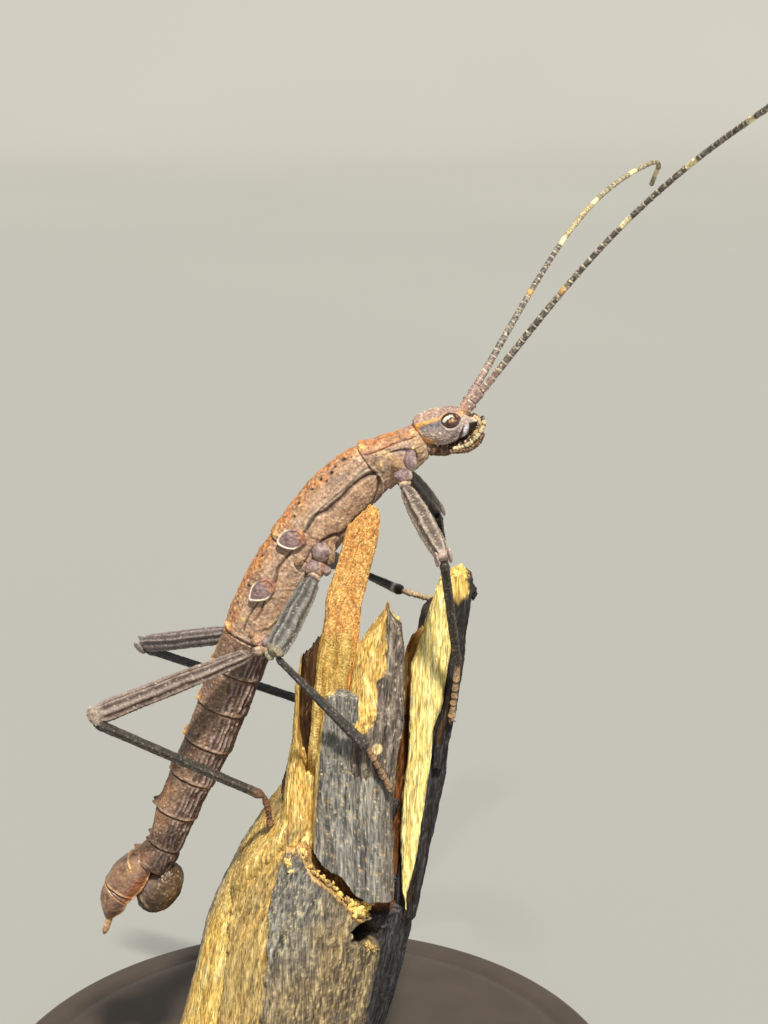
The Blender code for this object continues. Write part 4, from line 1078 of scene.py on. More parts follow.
# A slim ribbed shin with a rounded head at the knee and a slight club at the ankle.
def makeTibia(tag, spec, paint, knee, ankle, normal, seed):
    near, far = spec["tibiaSize"]
    rows, columns = 200, 48
    t = np.linspace(0, 1, rows)
    start, stop = knee + unit(ankle - knee) * pieceGap, ankle - unit(ankle - knee) * pieceGap
    path = start + (stop - start) * t[:, None]
    depth = smoothValues((0, 0.04, 0.12, 0.55, 0.9, 0.965, 1),
                         np.array((near * 0.7, near * 1.12, near * 0.88, (near + far) / 2 * 0.9, far * 0.92,
                                   far * 1.1, far * 0.7)), t) / 2
    grid = tubeGrid(path, depth, depth * 0.9, normal, columns, power=2.3)
    rib = ribbed(rows, columns, 5, 1.3)
    skin, rough, lumps, grain, own = limbPaint(grid, rib * 0.5, paint[3], tuple(v * 0.72 for v in paint[3]),
                                               seed, 0.9)
    skin = blend(skin, (own > 0.7) * grain * (0.3 + rib * 0.7) * 0.8, linear(*paint[4]))
    body = (fade(0.03, 0.1, t) * (1 - fade(0.92, 0.98, t)))[:, None]
    lift = -0.05 + body * rib * 0.08 + rough * 0.02 + lumps * 0.012 + grain * 0.025 * (own > 0.5)
    if tag.startswith("mid_left"):
        skin = blend(skin, bell(t - 0.93, 0.03)[:, None], linear(206, 204, 196))
    if tag.startswith("hind_right"):
        skin = blend(skin, fade(0.88, 0.99, t)[:, None] * 0.6, linear(132, 96, 66))
    hide = tubeGrid(path, depth, depth * 0.9, normal, columns, lift, power=2.3)
    bristleBeds.append((hide, path, 150, 0.17, (150, 142, 128)))
    surface(tag + "tibiaSkin", hide, legCuticle, skin, slotName="tibia", stands=[tag + "tibia"])


# Five foot joints on a bent path, each with a swollen pad, then two hooked claws and a pad between.
def makeTarsus(tag, paint, knee, ankle, toe, normal, seed):
    rows, columns, jointCount = 120, 24, 5
    t = np.linspace(0, 1, rows)
    middle = (ankle + toe) / 2 + unit(ankle - knee) * 0.25
    path = (ankle * (1 - t[:, None]) ** 2 + middle * 2 * t[:, None] * (1 - t[:, None])
        + toe * t[:, None] ** 2)
    ends = np.array((0, 0.3, 0.47, 0.61, 0.74, 1.0))
    k = np.clip(np.searchsorted(ends, t, side="right") - 1, 0, jointCount - 1)
    part = (t - ends[k]) / (ends[k + 1] - ends[k])
    pinch = bell(np.minimum(part, 1 - part) * (ends[k + 1] - ends[k]), 0.02)
    radius = tarsusRadius * (0.72 + 0.34 * part**1.5 - 0.3 * pinch) * (1 + 0.2 * fade(0.9, 0.97, t)
        - 0.7 * fade(0.965, 1, t))
    grid = tubeGrid(path, radius, radius * 0.95, normal, columns)
    skin, rough, lumps, grain, own = limbPaint(grid, np.ones(grid.shape[:2]) * 0.9, paint[5],
                                               tuple(v * 0.55 for v in paint[5]), seed, 0.8)
    lift = rough * 0.02 + lumps * 0.02 + grain * 0.03 * (own > 0.5)
    skin = blend(skin, pinch[:, None] * 0.8, linear(58, 42, 32))
    skin = blend(skin, (bell(part - 0.9, 0.12) * (t < 0.8))[:, None] * 0.45,
                 np.minimum(linear(*paint[5]) * 1.8, 0.85))
    hide = tubeGrid(path, radius, radius * 0.95, normal, columns, lift)
    bristleBeds.append((hide, path, 60, 0.13, (190, 168, 130)))
    shells = [shell(hide, skin)]
    ahead = unit(path[-1] - path[-12])
    down = unit(unit(toe - ankle) * 0.4 + np.array([0.25, 0.0, -1.0]))
    down = unit(down - ahead * (down @ ahead))
    side = np.cross(ahead, down)
    for sign in (-1, 1):
        hook = toe + side * 0.12 * sign + np.array([ahead * a + side * sign * b + down * c for a, b, c in
                                                    ((-0.12, 0, 0), (0.18, 0.12, -0.04), (0.4, 0.18, 0.1),
                                                     (0.46, 0.16, 0.34))])
        line = smoothLine(hook, 24)
        size = 0.1 * (1 - np.linspace(0, 1, 24) ** 1.6 * 0.92)
        claw = tubeGrid(line, size, size, side, 12)
        tip = np.linspace(0, 1, 24)[:, None] * np.ones(12)
        shells.append(shell(claw,
            blend(plainPaint(claw, 120, 84, 52), fade(0.3, 0.9, tip), linear(34, 22, 18))))
    pad, _ = ball(toe + ahead * 0.1 + down * 0.1, [ahead * 0.22, side * 0.17, down * 0.13], 14, 18)
    shells.append(shell(pad, linear(206, 186, 148)))
    joined(tag + "tarsusSkin", shells, legCuticle, "tarsus", [tag + "tarsus"])


# Hip and root from the trunk's centreline, knee from the two bone lengths, then the leg's four parts.
def makeLegs():
    for number, (pair, spec) in enumerate(legs.items()):
        for side, sign in (("right", -1), ("left", 1)):
            ankle, toe = (np.array(spec[side][i]) for i in (0, 1))
            hip = besideSpine(spec["hip"][0], spec["hip"][1] * sign, spec["hip"][2])
            root = besideSpine(spec["root"][0], spec["root"][1] * sign, spec["root"][2])
            knee = kneeOf(hip, ankle, spec["femur"], spec["tibia"], spec[side][2], sign)
            normal = unit(np.cross(knee - hip, ankle - knee))
            tag, paint = f"{pair}_{side}_", legColoursAndShade[f"{pair}_{side}"]
            seed = 200 + 40 * number + 20 * (sign > 0)
            thigh = unit(knee - hip)
            inward = (ankle - knee) - thigh * ((ankle - knee) @ thigh)
            hinge = knee + unit(inward) * spec["femurSize"][2] * kneeDrop
            makeCoxa(tag, pair, spec, root, hip, normal, seed, sign)
            makeFemur(tag, pair, spec, paint, hip, knee, normal, seed + 1)
            makeTibia(tag, spec, paint, hinge, ankle, normal, seed + 2)
            makeTarsus(tag, paint, knee, ankle, toe, normal, seed + 3)


# Short spikes on the limbs: three-sided pyramids, each leaning from its root towards the limb's tip.
# The unwrap gives every limb a cell of a 6 by 6 sheet: along the limb across it, round the limb up it.
def makeBristles():
    throws = np.random.RandomState(31)
    shells, flat, cells = [], [], 6
    for number, (hide, path, count, length, tone) in enumerate(bristleBeds):
        rows, columns = hide.shape[:2]
        ahead = np.gradient(path, axis=0)
        ahead /= np.linalg.norm(ahead, axis=1, keepdims=True)
        row, column = throws.randint(6, rows - 6, count), throws.randint(0, columns, count)
        root = hide[row, column]
        away = root - path[row]
        away -= ahead[row] * (away * ahead[row]).sum(-1, keepdims=True)
        away /= np.linalg.norm(away, axis=1, keepdims=True)
        side = np.cross(away, ahead[row])
        tall = length * throws.uniform(0.6, 1.3, (count, 1))
        thick = 0.022
        foot = root - away * 0.03
        corners = [foot + (side * math.cos(a) + ahead[row] * math.sin(a)) * thick for a in (0.5, 2.6, 4.7)]
        tip = root + (away * 0.8 + ahead[row] * 0.6 + side * throws.uniform(-0.3, 0.3, (count, 1))) * tall
        points = np.stack(corners + [tip], 1).reshape(-1, 3)
        start = 4 * np.arange(count)[:, None, None]
        faces = (start + np.array([[0, 1, 3], [1, 2, 3], [2, 0, 3], [0, 2, 1]])).reshape(-1, 3)
        place = (coords(number % cells + 0.05 + 0.9 * row / rows, number // cells + 0.05
            + 0.9 * column / columns) / cells)
        patch = 0.0015 * np.array([(-1, -1), (1, -1), (0, 1), (0, 0)])
        flat.append((place[:, None] + patch).reshape(-1, 2))
        shells.append((points, np.zeros((0, 4), int), faces, np.ones((len(points), 3)) * linear(*tone)))
    piece = joined("limbBristles", shells, hairMat, "femur", smooth=False)
    unwrap = piece.data.uv_layers.new(name="OFBake")
    corner = np.zeros(len(piece.data.loops), np.int32)
    piece.data.loops.foreach_get("vertex_index", corner)
    unwrap.data.foreach_set("uv", np.vstack(flat)[corner].astype(np.float32).ravel())


makeLegs()
makeBristles()
print("legs made")


wingStubs = dict(  # distance, degrees, the root-to-tip run along and towards the back, breadth, tip sharpness
    forewing_stub=dict(at=(13.6, 158), run=(1.5, -27), breadth=0.74, point=0.9),
    hindwing_stub=dict(at=(18.6, 160), run=(2.0, -16), breadth=0.70, point=1.5),
)


# Leaf-shaped flaps: rings of a pointed oval laid on the skin, domed, with a raised pale rim.
def makeWingStubs():
    for name, spec in wingStubs.items():
        for side, mirror in (("right", 1), ("left", -1)):
            share, turn = np.meshgrid(np.concatenate([np.linspace(0.02, 1, 46),
                np.linspace(1.02, 1.06, 4), np.linspace(1.0, 0.05, 6)]), 2 * np.pi * np.arange(72) / 72,
                indexing="ij")
            under = np.arange(56)[:, None] >= 50
            along = np.cos(turn)
            blunt = np.sign(np.sin(turn)) * np.abs(np.sin(turn)) ** np.where(along < 0, 0.7, 1.0)
            breadth = (spec["breadth"] * blunt * (1 - 0.42 * spec["point"] * np.clip(along, 0, 1) ** 1.5)
                * (1 + 0.1 * along))
            half = np.array(spec["run"]) * (1, trunk["mmPerDegree"]) / 1.7
            ahead = half / np.linalg.norm(half)
            place = (along[..., None] * half
                     + breadth[..., None] * np.array([-ahead[1], ahead[0]])) * share[..., None]
            s = spec["at"][0] + place[..., 0]
            angle = spec["at"][1] + place[..., 1] / trunk["mmPerDegree"]
            rim = bell(share - 0.9, 0.09)
            lift = np.where(under, -0.12,
                            0.2 + 0.16 * (1 - share**2) + 0.1 * rim - 0.3 * fade(1.0, 1.06, share))
            lift = lift + 0.12 * along * share * ~under
            if mirror < 0:
                angle = 540 - angle
            base = trunkPoint(s, angle)
            lumps, rough = layered(base / 0.3, 301, 3), layered(base / 0.9, 303, 3)
            grain, own = granules(base, 0.2, 305)
            lift = lift + (lumps * 0.03 + grain * 0.02 * (own > 0.5)) * (1 - rim)
            skin = plainPaint(base, 130, 106, 104)
            skin = blend(skin, fade(-0.2, 0.8, rough) * 0.7, linear(158, 136, 132))
            skin = blend(skin, fade(0.0, 0.7, -lumps) * 0.6, linear(88, 66, 62))
            crumbs = fade(0.25, 0.8, -along * share) * fade(-0.1, 0.5, lumps)
            skin = layers(skin, [
                (crumbs, 206, 148, 92),
                (fade(0.3, 0.9, -along * share) * 0.4, 150, 86, 52),
                (fade(0.76, 0.86, share) * 0.95 * fade(-0.4, 0.1, along), 232, 218, 192)])
            surface(name + "_" + side + "_flap", trunkPoint(s, angle, lift), cuticle, skin, slotName="wing",
                    stands=[name + "_" + side])


tail = dict(
    ninth=((-14.3, 27.2, 60, 2.6, 3.5), (-15.35, 25.8, 55, 3.5, 4.1), (-16.4, 24.35, 48, 3.35, 3.8)),
    tenth=((-16.45, 24.25, 48, 3.3, 3.7), (-17.1, 23.1, 57, 2.6, 3.1), (-17.5, 21.8, 68, 0.9, 1.5)),
    cup=dict(centre=(-12.85, 24.6), slope=54, length=5.2, height=3.7, width=3.9),
    cercus=dict(root=(-17.35, 0.5, 22.2), tip=(-17.95, 0.42, 20.2), radius=0.28), inset=0.05,
)


# A glossy back plate: rings on smooth curves of the section sizes, its lower edge hemmed by a pale rim.
def tailHood(name, sections, stand, seed):
    rows, columns = 150, 160
    t = np.linspace(0, 1, rows)
    places = np.linspace(0, 1, len(sections))
    table = np.array(sections)
    x, z, slope, height, width = (smoothValues(places, table[:, i], t)[:, None] for i in range(5))
    angle = 90 + 360 * np.arange(columns)[None, :] / columns
    c, q = rounded(np.radians(angle), trunk["power"])
    tilt = np.radians(slope)

    def ring(lift):
        up, across = q * (height / 2 + lift), c * (width / 2 + lift)
        return coords(x - np.sin(tilt) * up, across, z + np.cos(tilt) * up)

    base = ring(0)
    folded = np.where(angle > 270, 540 - angle, angle) + np.zeros((rows, 1))
    rough, lumps, grain, own = texture(base, (0.8, 0.3, 0.2), seed)
    along = t[:, None] + np.zeros(columns)
    hem = 214 + 14 * np.sin(along * np.pi)  # degrees at which the plate's lower edge lies
    edge = bell(folded - hem, 5)
    below = fade(hem + 2, hem + 10, folded)
    lift = (-tail["inset"] + rough * 0.05 + lumps * 0.02 + grain * 0.02 * (own > 0.6) + edge * 0.08
        - below * 0.3)
    skin = layers(plainPaint(base, 132, 100, 80), [
        (fade(-0.1, 0.8, rough) * 0.7, 172, 134, 102),
        (fade(0.0, 0.8, -rough) * 0.7, 84, 60, 50),
        (fade(0.1, 0.8, lumps) * 0.4, 200, 162, 128),
        (fade(0.1, 0.7, noise(base / 0.9, seed + 9)) * 0.55, 134, 110, 108),
        (fade(0.2, 0.8, noise(base / 1.3, seed + 12)) * 0.5, 170, 138, 78)])
    if stand == "tergum_9":
        notch = bell(along - 0.34 - (folded - 90) * 0.0016, 0.02) * (1 - fade(150, 160, folded))
        seam = along - (0.97 - 0.0012 * (folded - 130))
        lift += (0.07 * notch - 0.12 * bell(along - 0.38 - (folded - 90) * 0.0016, 0.016)
            * (1 - fade(150, 160, folded)))
        lift += 0.08 * bell(seam, 0.025) - 0.12 * bell(seam - 0.035, 0.02)
        front = 1 - fade(0.2, 0.42, along)
        skin = layers(skin, [
            (front * 0.7, 140, 108, 92),
            (fade(0.0, 0.7, noise(base / 0.55, seed + 15)) * front * 0.6, 176, 146, 128),
            (notch * 0.9, 226, 176, 118),
            (bell(seam, 0.02) * fade(120, 135, folded) * 0.9, 224, 176, 130),
            (bell(seam - 0.035, 0.015) * 0.7, 60, 34, 24),
            (fade(182, 204, folded) * (1 - below) * fade(0.3, 0.6, along) * 0.6, 142, 70, 30)])
    else:
        lift += 0.05 * bell(along, 0.05)
        skin = blend(skin, bell(along - 0.03, 0.04) * 0.8, linear(220, 170, 122))
        skin = blend(skin, fade(0.6, 0.95, along) * 0.5, linear(120, 66, 44))
    skin = blend(skin, edge * 0.85, linear(226, 172, 122))
    skin = blend(skin, below * 0.85, linear(46, 28, 22))
    surface(name, ring(lift), hornyCuticle, skin, slotName="hind_end", stands=[stand])


# Two hoods, then a stretched sphere for the cup and a tapered tube for each cercus.
def makeTail():
    ninth = tail["ninth"]
    front = (-13.75, 28.2, 62, 1.2, 2.2)
    tailHood("ninthPlate", (front,) + ninth, "tergum_9", 321)
    tailHood("tenthPlate", tail["tenth"], "tergum_10", 341)
    spec = tail["cup"]
    slope = math.radians(spec["slope"])
    run = np.array([math.cos(slope), 0, math.sin(slope)])
    up = np.array([-run[2], 0, run[0]])
    axes = [run * (spec["length"] / 2 - 0.05), np.array([0, 1, 0]) * (spec["width"] / 2 - 0.05),
            up * (spec["height"] / 2 - 0.05)]
    centre = (spec["centre"][0], 0, spec["centre"][1])
    grid, way = ball(centre, axes, 150, 170)
    rough, lumps, grain, own = texture(grid, (0.9, 0.3, 0.22), 361)
    push = 1 + (rough * 0.06 + lumps * 0.045 + grain * 0.025 * (own > 0.4)) / 1.9
    # a lip where the cup opens under the tail plates
    lip = bell(way[..., 0] + 0.62 - 0.2 * way[..., 2], 0.05) * fade(-0.4, 0.2, way[..., 2])
    push += lip * 0.03
    skin = layers(plainPaint(grid, 78, 60, 44), [
        (fade(-0.1, 0.8, rough) * 0.6, 112, 90, 60),
        (fade(0.1, 0.9, -rough) * 0.6, 48, 35, 28),
        (fade(0.15, 0.7, noise(grid / 0.7, 371)) * 0.5, 118, 98, 62)])
    pale = fade(0.15, 0.75, way[..., 2]) * (1 - fade(0.2, 0.6, way[..., 0]))
    skin = layers(skin, [
        (pale * 0.55, 150, 128, 122),
        # painted shade on the cup's lower back end, below its pale upper edge
        (fade(0.35, 0.85, -way[..., 0]) * fade(-0.5, 0.3, way[..., 2]) * 0.6, 40, 32, 26),
        (fade(0.45, 0.9, -way[..., 2]) * 0.45, 96, 62, 36),
        ((own > 0.82) * grain * 0.7, 162, 140, 104),
        (lip * 0.6, 176, 150, 120)])
    surface("cupPlate", np.array(centre) + (grid - np.array(centre)) * push[..., None], hornyCuticle, skin,
            slotName="hind_end", stands=["poculum"])
    spec = tail["cercus"]
    for side, sign in (("right", -1), ("left", 1)):
        root, tip = (np.array(spec[key]) * (1, sign, 1) for key in ("root", "tip"))
        inner = root + (root - tip) * 0.25
        t = np.linspace(0, 1, 70)
        path = (inner + (tip - inner) * t[:, None]
            + np.array([0.1, 0, 0.02]) * (np.sin(np.pi * t) * 0.8)[:, None])
        radius = spec["radius"] * smoothValues((0, 0.3, 0.6, 0.85, 1), (0.95, 1.0, 1.05, 0.95, 0.35), t)
        grid = tubeGrid(path, radius, radius * 0.9, (0, 1, 0), 40)
        lumps = layered(grid / 0.25, 381, 3)
        skin = blend(plainPaint(grid, 178, 140, 104), fade(0, 0.8, lumps) * 0.8, linear(224, 196, 158))
        skin = blend(skin, fade(0.1, 0.8, -lumps) * 0.6, linear(116, 78, 56))
        skin = blend(skin, fade(0.75, 1, t)[:, None] * 0.5, linear(140, 84, 60))
        surface("cercus_" + side + "_horny",
                tubeGrid(path, radius, radius * 0.9, (0, 1, 0), 40, lumps * 0.03), hornyCuticle, skin,
                slotName="hind_end", stands=["cercus_" + side])


makeWingStubs()
makeTail()
print("wing stubs and hind end made")


woodMat = paintedSkin("splitWood", dict(
    mottleScale=2600, mottle=0.26, grainScale=7000, grain=0.46, roughness=0.72, bump=1.0, relief=0.08,
    stretch=(1, 1, 0.09), lean=8, specular=0.22))
porousMat = paintedSkin("porousWood", dict(
    mottleScale=2600, mottle=0.22, grainScale=5600, grain=0.3, roughness=0.8, bump=1.0, relief=0.12,
    specular=0.15))
# plain, light, dark and deep colours, then grain pitch, colour of the specks, share of specks
woodKinds = dict(
    yellow=((220, 180, 96), (248, 226, 154), (160, 112, 50), (98, 64, 30), (0.28, 0.10), (250, 232, 176),
            0.06),
    brightYellow=((242, 202, 110), (255, 238, 170), (198, 146, 66), (120, 80, 36), (0.26, 0.09),
                  (255, 240, 190), 0.05),
    pale=((250, 228, 142), (255, 246, 190), (222, 184, 100), (136, 98, 48), (0.2, 0.07), (255, 246, 206),
          0.08),
    olive=((182, 152, 92), (224, 198, 134), (120, 92, 54), (70, 50, 32), (0.25, 0.09), (226, 204, 150), 0.10),
    orange=((212, 140, 66), (246, 198, 118), (160, 90, 38), (106, 56, 26), (0.24, 0.24), (250, 214, 140),
            0.22),
    grey=((122, 119, 112), (178, 174, 162), (70, 67, 66), (36, 33, 31), (0.16, 0.09), (214, 192, 146), 0.24),
    brownBark=((128, 112, 86), (194, 170, 126), (70, 60, 52), (42, 32, 28), (0.17, 0.11), (222, 190, 130),
               0.24),
    scaly=((98, 88, 80), (164, 150, 132), (60, 50, 46), (32, 26, 24), (0.24, 0.14), (208, 192, 158), 0.20),
    # charred bark, darkened also as painted shade for the side away from the light
    charAndShade=((44, 40, 40), (86, 88, 92), (26, 22, 22), (14, 12, 12), (0.18, 0.08), (112, 110, 108), 0.06),
    dark=((70, 48, 30), (120, 84, 48), (42, 28, 18), (20, 13, 9), (0.26, 0.10), (150, 112, 66), 0.05),
    # dark orange-brown wood as seen in shade: painted shade for slots and recesses
    shadedSlotBrown=((104, 62, 30), (160, 104, 52), (62, 36, 20), (30, 18, 11), (0.26, 0.10), (180, 124, 66), 0.05),
)
fibre = dict(coarse=(0.8, 9.0), fine=(0.24, 3.4), relief=0.16, ribs=0.09, steps=0.12)


# Noise drawn out along the grain: the pitch across the fibres, then the pitch along them.
def fibreNoise(across, y, z, pitch, seed, layers=3):
    return layered(coords(across / pitch[0], y / pitch[0], z / pitch[1]), seed, layers)


# Streaks at two pitches between a light and a dark colour, with grains of a third colour.
def woodPaint(kind, across, y, z, seed):
    plain, light, dark, deep, pitch, speck, speckShare = woodKinds[kind]
    broad = fibreNoise(across, y, z, (0.5, 7.0), seed, 4)
    narrow = fibreNoise(across, y, z, (pitch[1], 2.2), seed + 5, 3)
    skin = np.ones(across.shape + (3,)) * linear(*plain)
    skin = layers(skin, [
        (fade(-0.1, 0.8, broad) * 0.7, *light),
        (fade(0.0, 0.8, -broad) * 0.7, *dark),
        (fade(0.1, 0.8, narrow) * 0.55, *light),
        (fade(0.15, 0.8, -narrow) * 0.6, *dark),
        (fade(0.45, 0.95, -narrow) * 0.7, *deep)])
    away, own = grains(coords(across, y, z / 1.8) / pitch[0], seed + 9)
    return blend(skin, (own < speckShare) * (1 - fade(0.15, 0.5, away)) * 0.9, linear(*speck))


# Crumbly wood: light, plain and rusty grains in round patches at three pitches.
def porousPaint(grid, seed):
    wide, middle, small = (layered(grid / pitch, seed + k, 2) for k, pitch in enumerate((1.3, 0.3, 0.13)))
    skin = layers(plainPaint(grid, 222, 160, 86), [
        (fade(-0.1, 0.6, wide) * 0.7, 242, 192, 112),
        (fade(0.0, 0.7, -wide) * 0.65, 186, 116, 58),
        (fade(0.05, 0.7, middle) * 0.5, 250, 216, 146),
        (fade(0.1, 0.7, -middle) * 0.5, 170, 106, 54),
        (fade(0.1, 0.7, small) * 0.6, 255, 226, 160)])
    return blend(skin, fade(0.2, 0.8, -small) * 0.7, linear(140, 76, 34)), middle, small


# Broad waves, narrow ribs and flat steps, all drawn out along the grain.
def fibreRelief(across, y, z, seed):
    waves = fibreNoise(across, y, z, fibre["coarse"], seed)
    ribs = 1 - 2 * np.abs(fibreNoise(across, y, z, fibre["fine"], seed + 3))
    steps = np.floor(fibreNoise(across, y, z, (0.7, 5.0), seed + 7) * 3) / 3
    return waves * fibre["relief"] + ribs * fibre["ribs"] + steps * fibre["steps"]


# left and right edges as (height, x), near and far face as (height, y), then top and foot over u
boards = dict(
    orange=dict(left=((34, 0.2), (45, 1.2), (48, 1.5), (50.9, 2.0), (52.7, 2.1), (56.4, 3.4), (59.4, 4.1),
                      (60.4, 4.5)),
                right=((34, 3.6), (43, 4.0), (47.3, 4.5), (50.2, 5.0), (52, 5.1), (55.2, 5.9), (58, 6.6),
                       (60.4, 7.0)),
                near=((34, -5.4), (60, -4.9)), far=((34, -3.2), (60, -3.5)), foot=((-1, 34), (1, 34)),
                top=((-1, 58.9), (-0.75, 59.2), (-0.4, 59.9), (0.1, 60.6), (0.45, 60.5), (0.8, 60.1),
                     (1, 59.2)), jag=0.3),
    lip=dict(left=((43, 3.6), (50, 4.4)), right=((43, 4.2), (46, 4.4), (48, 5.0), (50.5, 5.15)),
             near=((43, -5.0), (50, -4.8)),
             far=((43, -4.2), (50, -4.3)), foot=((-1, 43), (1, 43)),
             top=((-1, 49.5), (0.2, 49.9), (1, 50.4)), jag=0.8),
    sunken=dict(left=((30, -3.0), (38, -0.9), (43, -0.4), (48, 0.15)), right=((30, 5), (48, 3.2)),
                near=((30, -3.4), (48, -3.2)), far=((30, 5.2), (40, 4.0), (48, -1.6)),
                foot=((-1, 30), (1, 30)),
                top=((-1, 46.9), (-0.6, 47.5), (-0.2, 48.6), (0.2, 48.8), (1, 47)), jag=0.7),
    leftFace=dict(left=((24, -6.9), (26.5, -6.3), (28.8, -5.2), (31.1, -3.4), (33.1, -1.9), (35.7, -1.5),
                        (40.1, -0.75), (45.2, -0.35), (48, 0.1)),
                  right=((26, 2.5), (35, 2.4), (48, 2.4)),
                  near=((24, -3.6), (26, -4.5), (29, -5.6), (31.5, -6.3), (38, -5.6), (48, -4.0)),
                  far=((24, 4), (34, 3), (40, 0), (48, -2.6)), foot=((-1, 24), (1, 24)),
                  top=((-1, 47.4), (-0.9, 46.4), (-0.84, 44), (-0.78, 41), (-0.5, 39.5), (-0.1, 38),
                       (0.3, 37.6), (1, 37.6)), jag=0.5),
    slab=dict(left=((27, 0.6), (31.8, 0.95), (35.7, 1.15), (39.4, 1.4), (44.7, 2.1), (46, 2.3)),
              right=((27, 7.95), (31, 7.8), (35, 7.7), (38.8, 7.9), (43, 7.9), (46, 7.9)),
              near=((27, -8.5), (32, -8.35), (40, -7.8), (46, -7.4)), far=((27, -5.2), (46, -5.6)),
              foot=((-1, 31.9), (-0.68, 30.5), (-0.25, 29.7), (0.1, 28.0), (0.4, 27.3), (1, 27.4)),
              top=((-1, 45.2), (-0.55, 45.4), (-0.05, 45.1), (0.03, 42.4), (0.25, 41.6), (0.5, 38.6),
                   (1, 37.5)), jag=0.2),
    centre=dict(left=((34, 3.4), (43.1, 4.15), (44.5, 4.05), (48.6, 4.75), (49.3, 5.2), (50.6, 5.7),
                      (51.8, 6.4), (53, 6.9)),
                right=((34, 7.7), (39.8, 8.1), (42.8, 8.7), (47.2, 8.75), (50.9, 8.55), (51.5, 8.1),
                       (53, 7.8)),
                near=((34, -6.8), (37, -7.6), (39.5, -8.05), (42.5, -7.75), (45, -6.9), (53, -5.9)),
                far=((34, -2), (53, -3.6)), foot=((-1, 34), (1, 34)),
                top=((-1, 49.4), (-0.6, 50.9), (-0.2, 51.9), (0.15, 52.5), (0.4, 51.9), (0.65, 51.3),
                     (0.8, 51.0), (1, 50.7)), jag=0.35),
    behind=dict(left=((42, 8.4), (46.1, 8.6), (47.6, 8.85), (50, 9.7)), right=((42, 10), (50, 10.9)),
                near=((42, -2.8), (50, -2.4)),
                far=((42, -1), (50, -1.4)), foot=((-1, 42), (1, 42)), top=((-1, 48.6), (0, 49.5), (1, 49.3)),
                jag=0.25),
    crevice=dict(left=((24, 5.5), (34, 6.0), (47, 7.6)), right=((24, 9.2), (34, 9.4), (47, 10.2)),
                 near=((24, -4.6), (30, -4.2), (34, -3.6), (47, -2.2)),
                 far=((24, 3), (47, 0.5)), foot=((-1, 24), (1, 24)), top=((-1, 43), (0, 45.5), (1, 46.5)),
                 jag=0.5),
    plank=dict(left=((25, 8.9), (27, 8.5), (32.1, 8.35), (36.3, 8.65), (38.7, 8.95), (42.6, 9.1), (47, 9.15),
                     (49.9, 10.15), (51.6, 10.6), (53.3, 11.1), (55, 11.5)),
               right=((25, 8.9), (26.8, 9.0), (29.8, 9.75), (33.2, 10.15), (38.2, 10.9), (41.3, 11.25),
                      (43.5, 11.9), (47.9, 12.5), (51.5, 12.65), (55, 12.5)),
               near=((25, -6.0), (34, -5.4), (55, -5.1)), far=((25, -3), (55, -3.4)),
               foot=((-1, 25.6), (1, 25.6)),
               top=((-1, 53.5), (-0.3, 54.6), (0.3, 54.3), (1, 52.8)), jag=0.4),
    plankBack=dict(left=((24, 7.6), (34, 8.6), (47, 9.4), (50, 10.6), (55, 11.9)),
                   right=((24, 9.9), (27.7, 10.5), (32, 11.4), (36.8, 12.3), (40, 12.6), (43.2, 13.2),
                          (46.9, 13.75), (49.8, 14.0), (52.8, 14.35), (55, 14.5)),
                   near=((24, -4.9), (34, -4.4), (55, -4.2)),
                   far=((24, 2.2), (40, 1.6), (51, -0.6), (55, -1.3)),
                   foot=((-1, 24), (1, 24)),
                   top=((-1, 53.8), (-0.4, 54.6), (0.2, 54.9), (0.7, 54.5), (1, 54.2)), jag=0.25),
    # wood under the right fore foot, under the two left feet behind the plank, and under the left hind foot
    ledge=dict(left=((38, 11.0), (41.3, 11.35), (43.5, 12.0), (48, 12.5)),
               right=((38, 12.0), (41, 12.6), (43, 13.0), (48, 13.6)),
               near=((38, -5.0), (41, -5.35), (48, -5.4)), far=((38, -3), (48, -3)), foot=((-1, 38), (1, 38)),
               top=((-1, 47.2), (0, 47.8), (1, 47.4)), jag=0.2),
    stump=dict(left=((38, 9.2), (46, 9.6), (50, 10.1), (52, 10.9)),
               right=((38, 12.4), (46, 13.4), (52, 14.1)),
               near=((38, -1.2), (52, -1.2)), far=((38, 2.1), (52, 2.1)), foot=((-1, 38), (1, 38)),
               top=((-1, 50.3), (-0.5, 51.1), (0, 51.6), (0.5, 51.8), (1, 51.6)), jag=0.12),
    heel=dict(left=((24, -2), (33, -0.9), (38, 0.2)), right=((24, 7), (33, 6.5), (38, 6)),
              near=((24, 0), (38, 1)),
              far=((24, 8), (33, 7.1), (35, 6.8), (36.8, 6.5), (38, 6.1)), foot=((-1, 24), (1, 24)),
              top=((-1, 35.5), (-0.4, 37.4), (0, 37.9), (1, 37.6)), jag=0.3),
)
boardDetail = dict(  # rows up and columns round
    orange=(190, 150), lip=(60, 60), sunken=(110, 90), leftFace=(170, 150), slab=(200, 170),
    centre=(190, 150),
    behind=(70, 70), crevice=(90, 90), plank=(220, 150), plankBack=(170, 130),
    ledge=(80, 56), stump=(70, 64), heel=(70, 90))
barkSeam = ((38, 2.6), (41.4, 2.8), (42.2, 5.5), (43.5, 6.4), (46.4, 6.4), (46.8, 7.0), (47.5, 7.2),
            (51.1, 7.15), (53, 7.3))


# A small ragged wander for a border between two colours, quick across the grain and slow along it.
def splitEdge(z, seed):
    return (0.18 * noise(coords(z / 0.8, z * 0 + seed, z * 0), seed)
        + 0.12 * noise(coords(z / 0.25, z * 0 + seed, z * 0), seed))


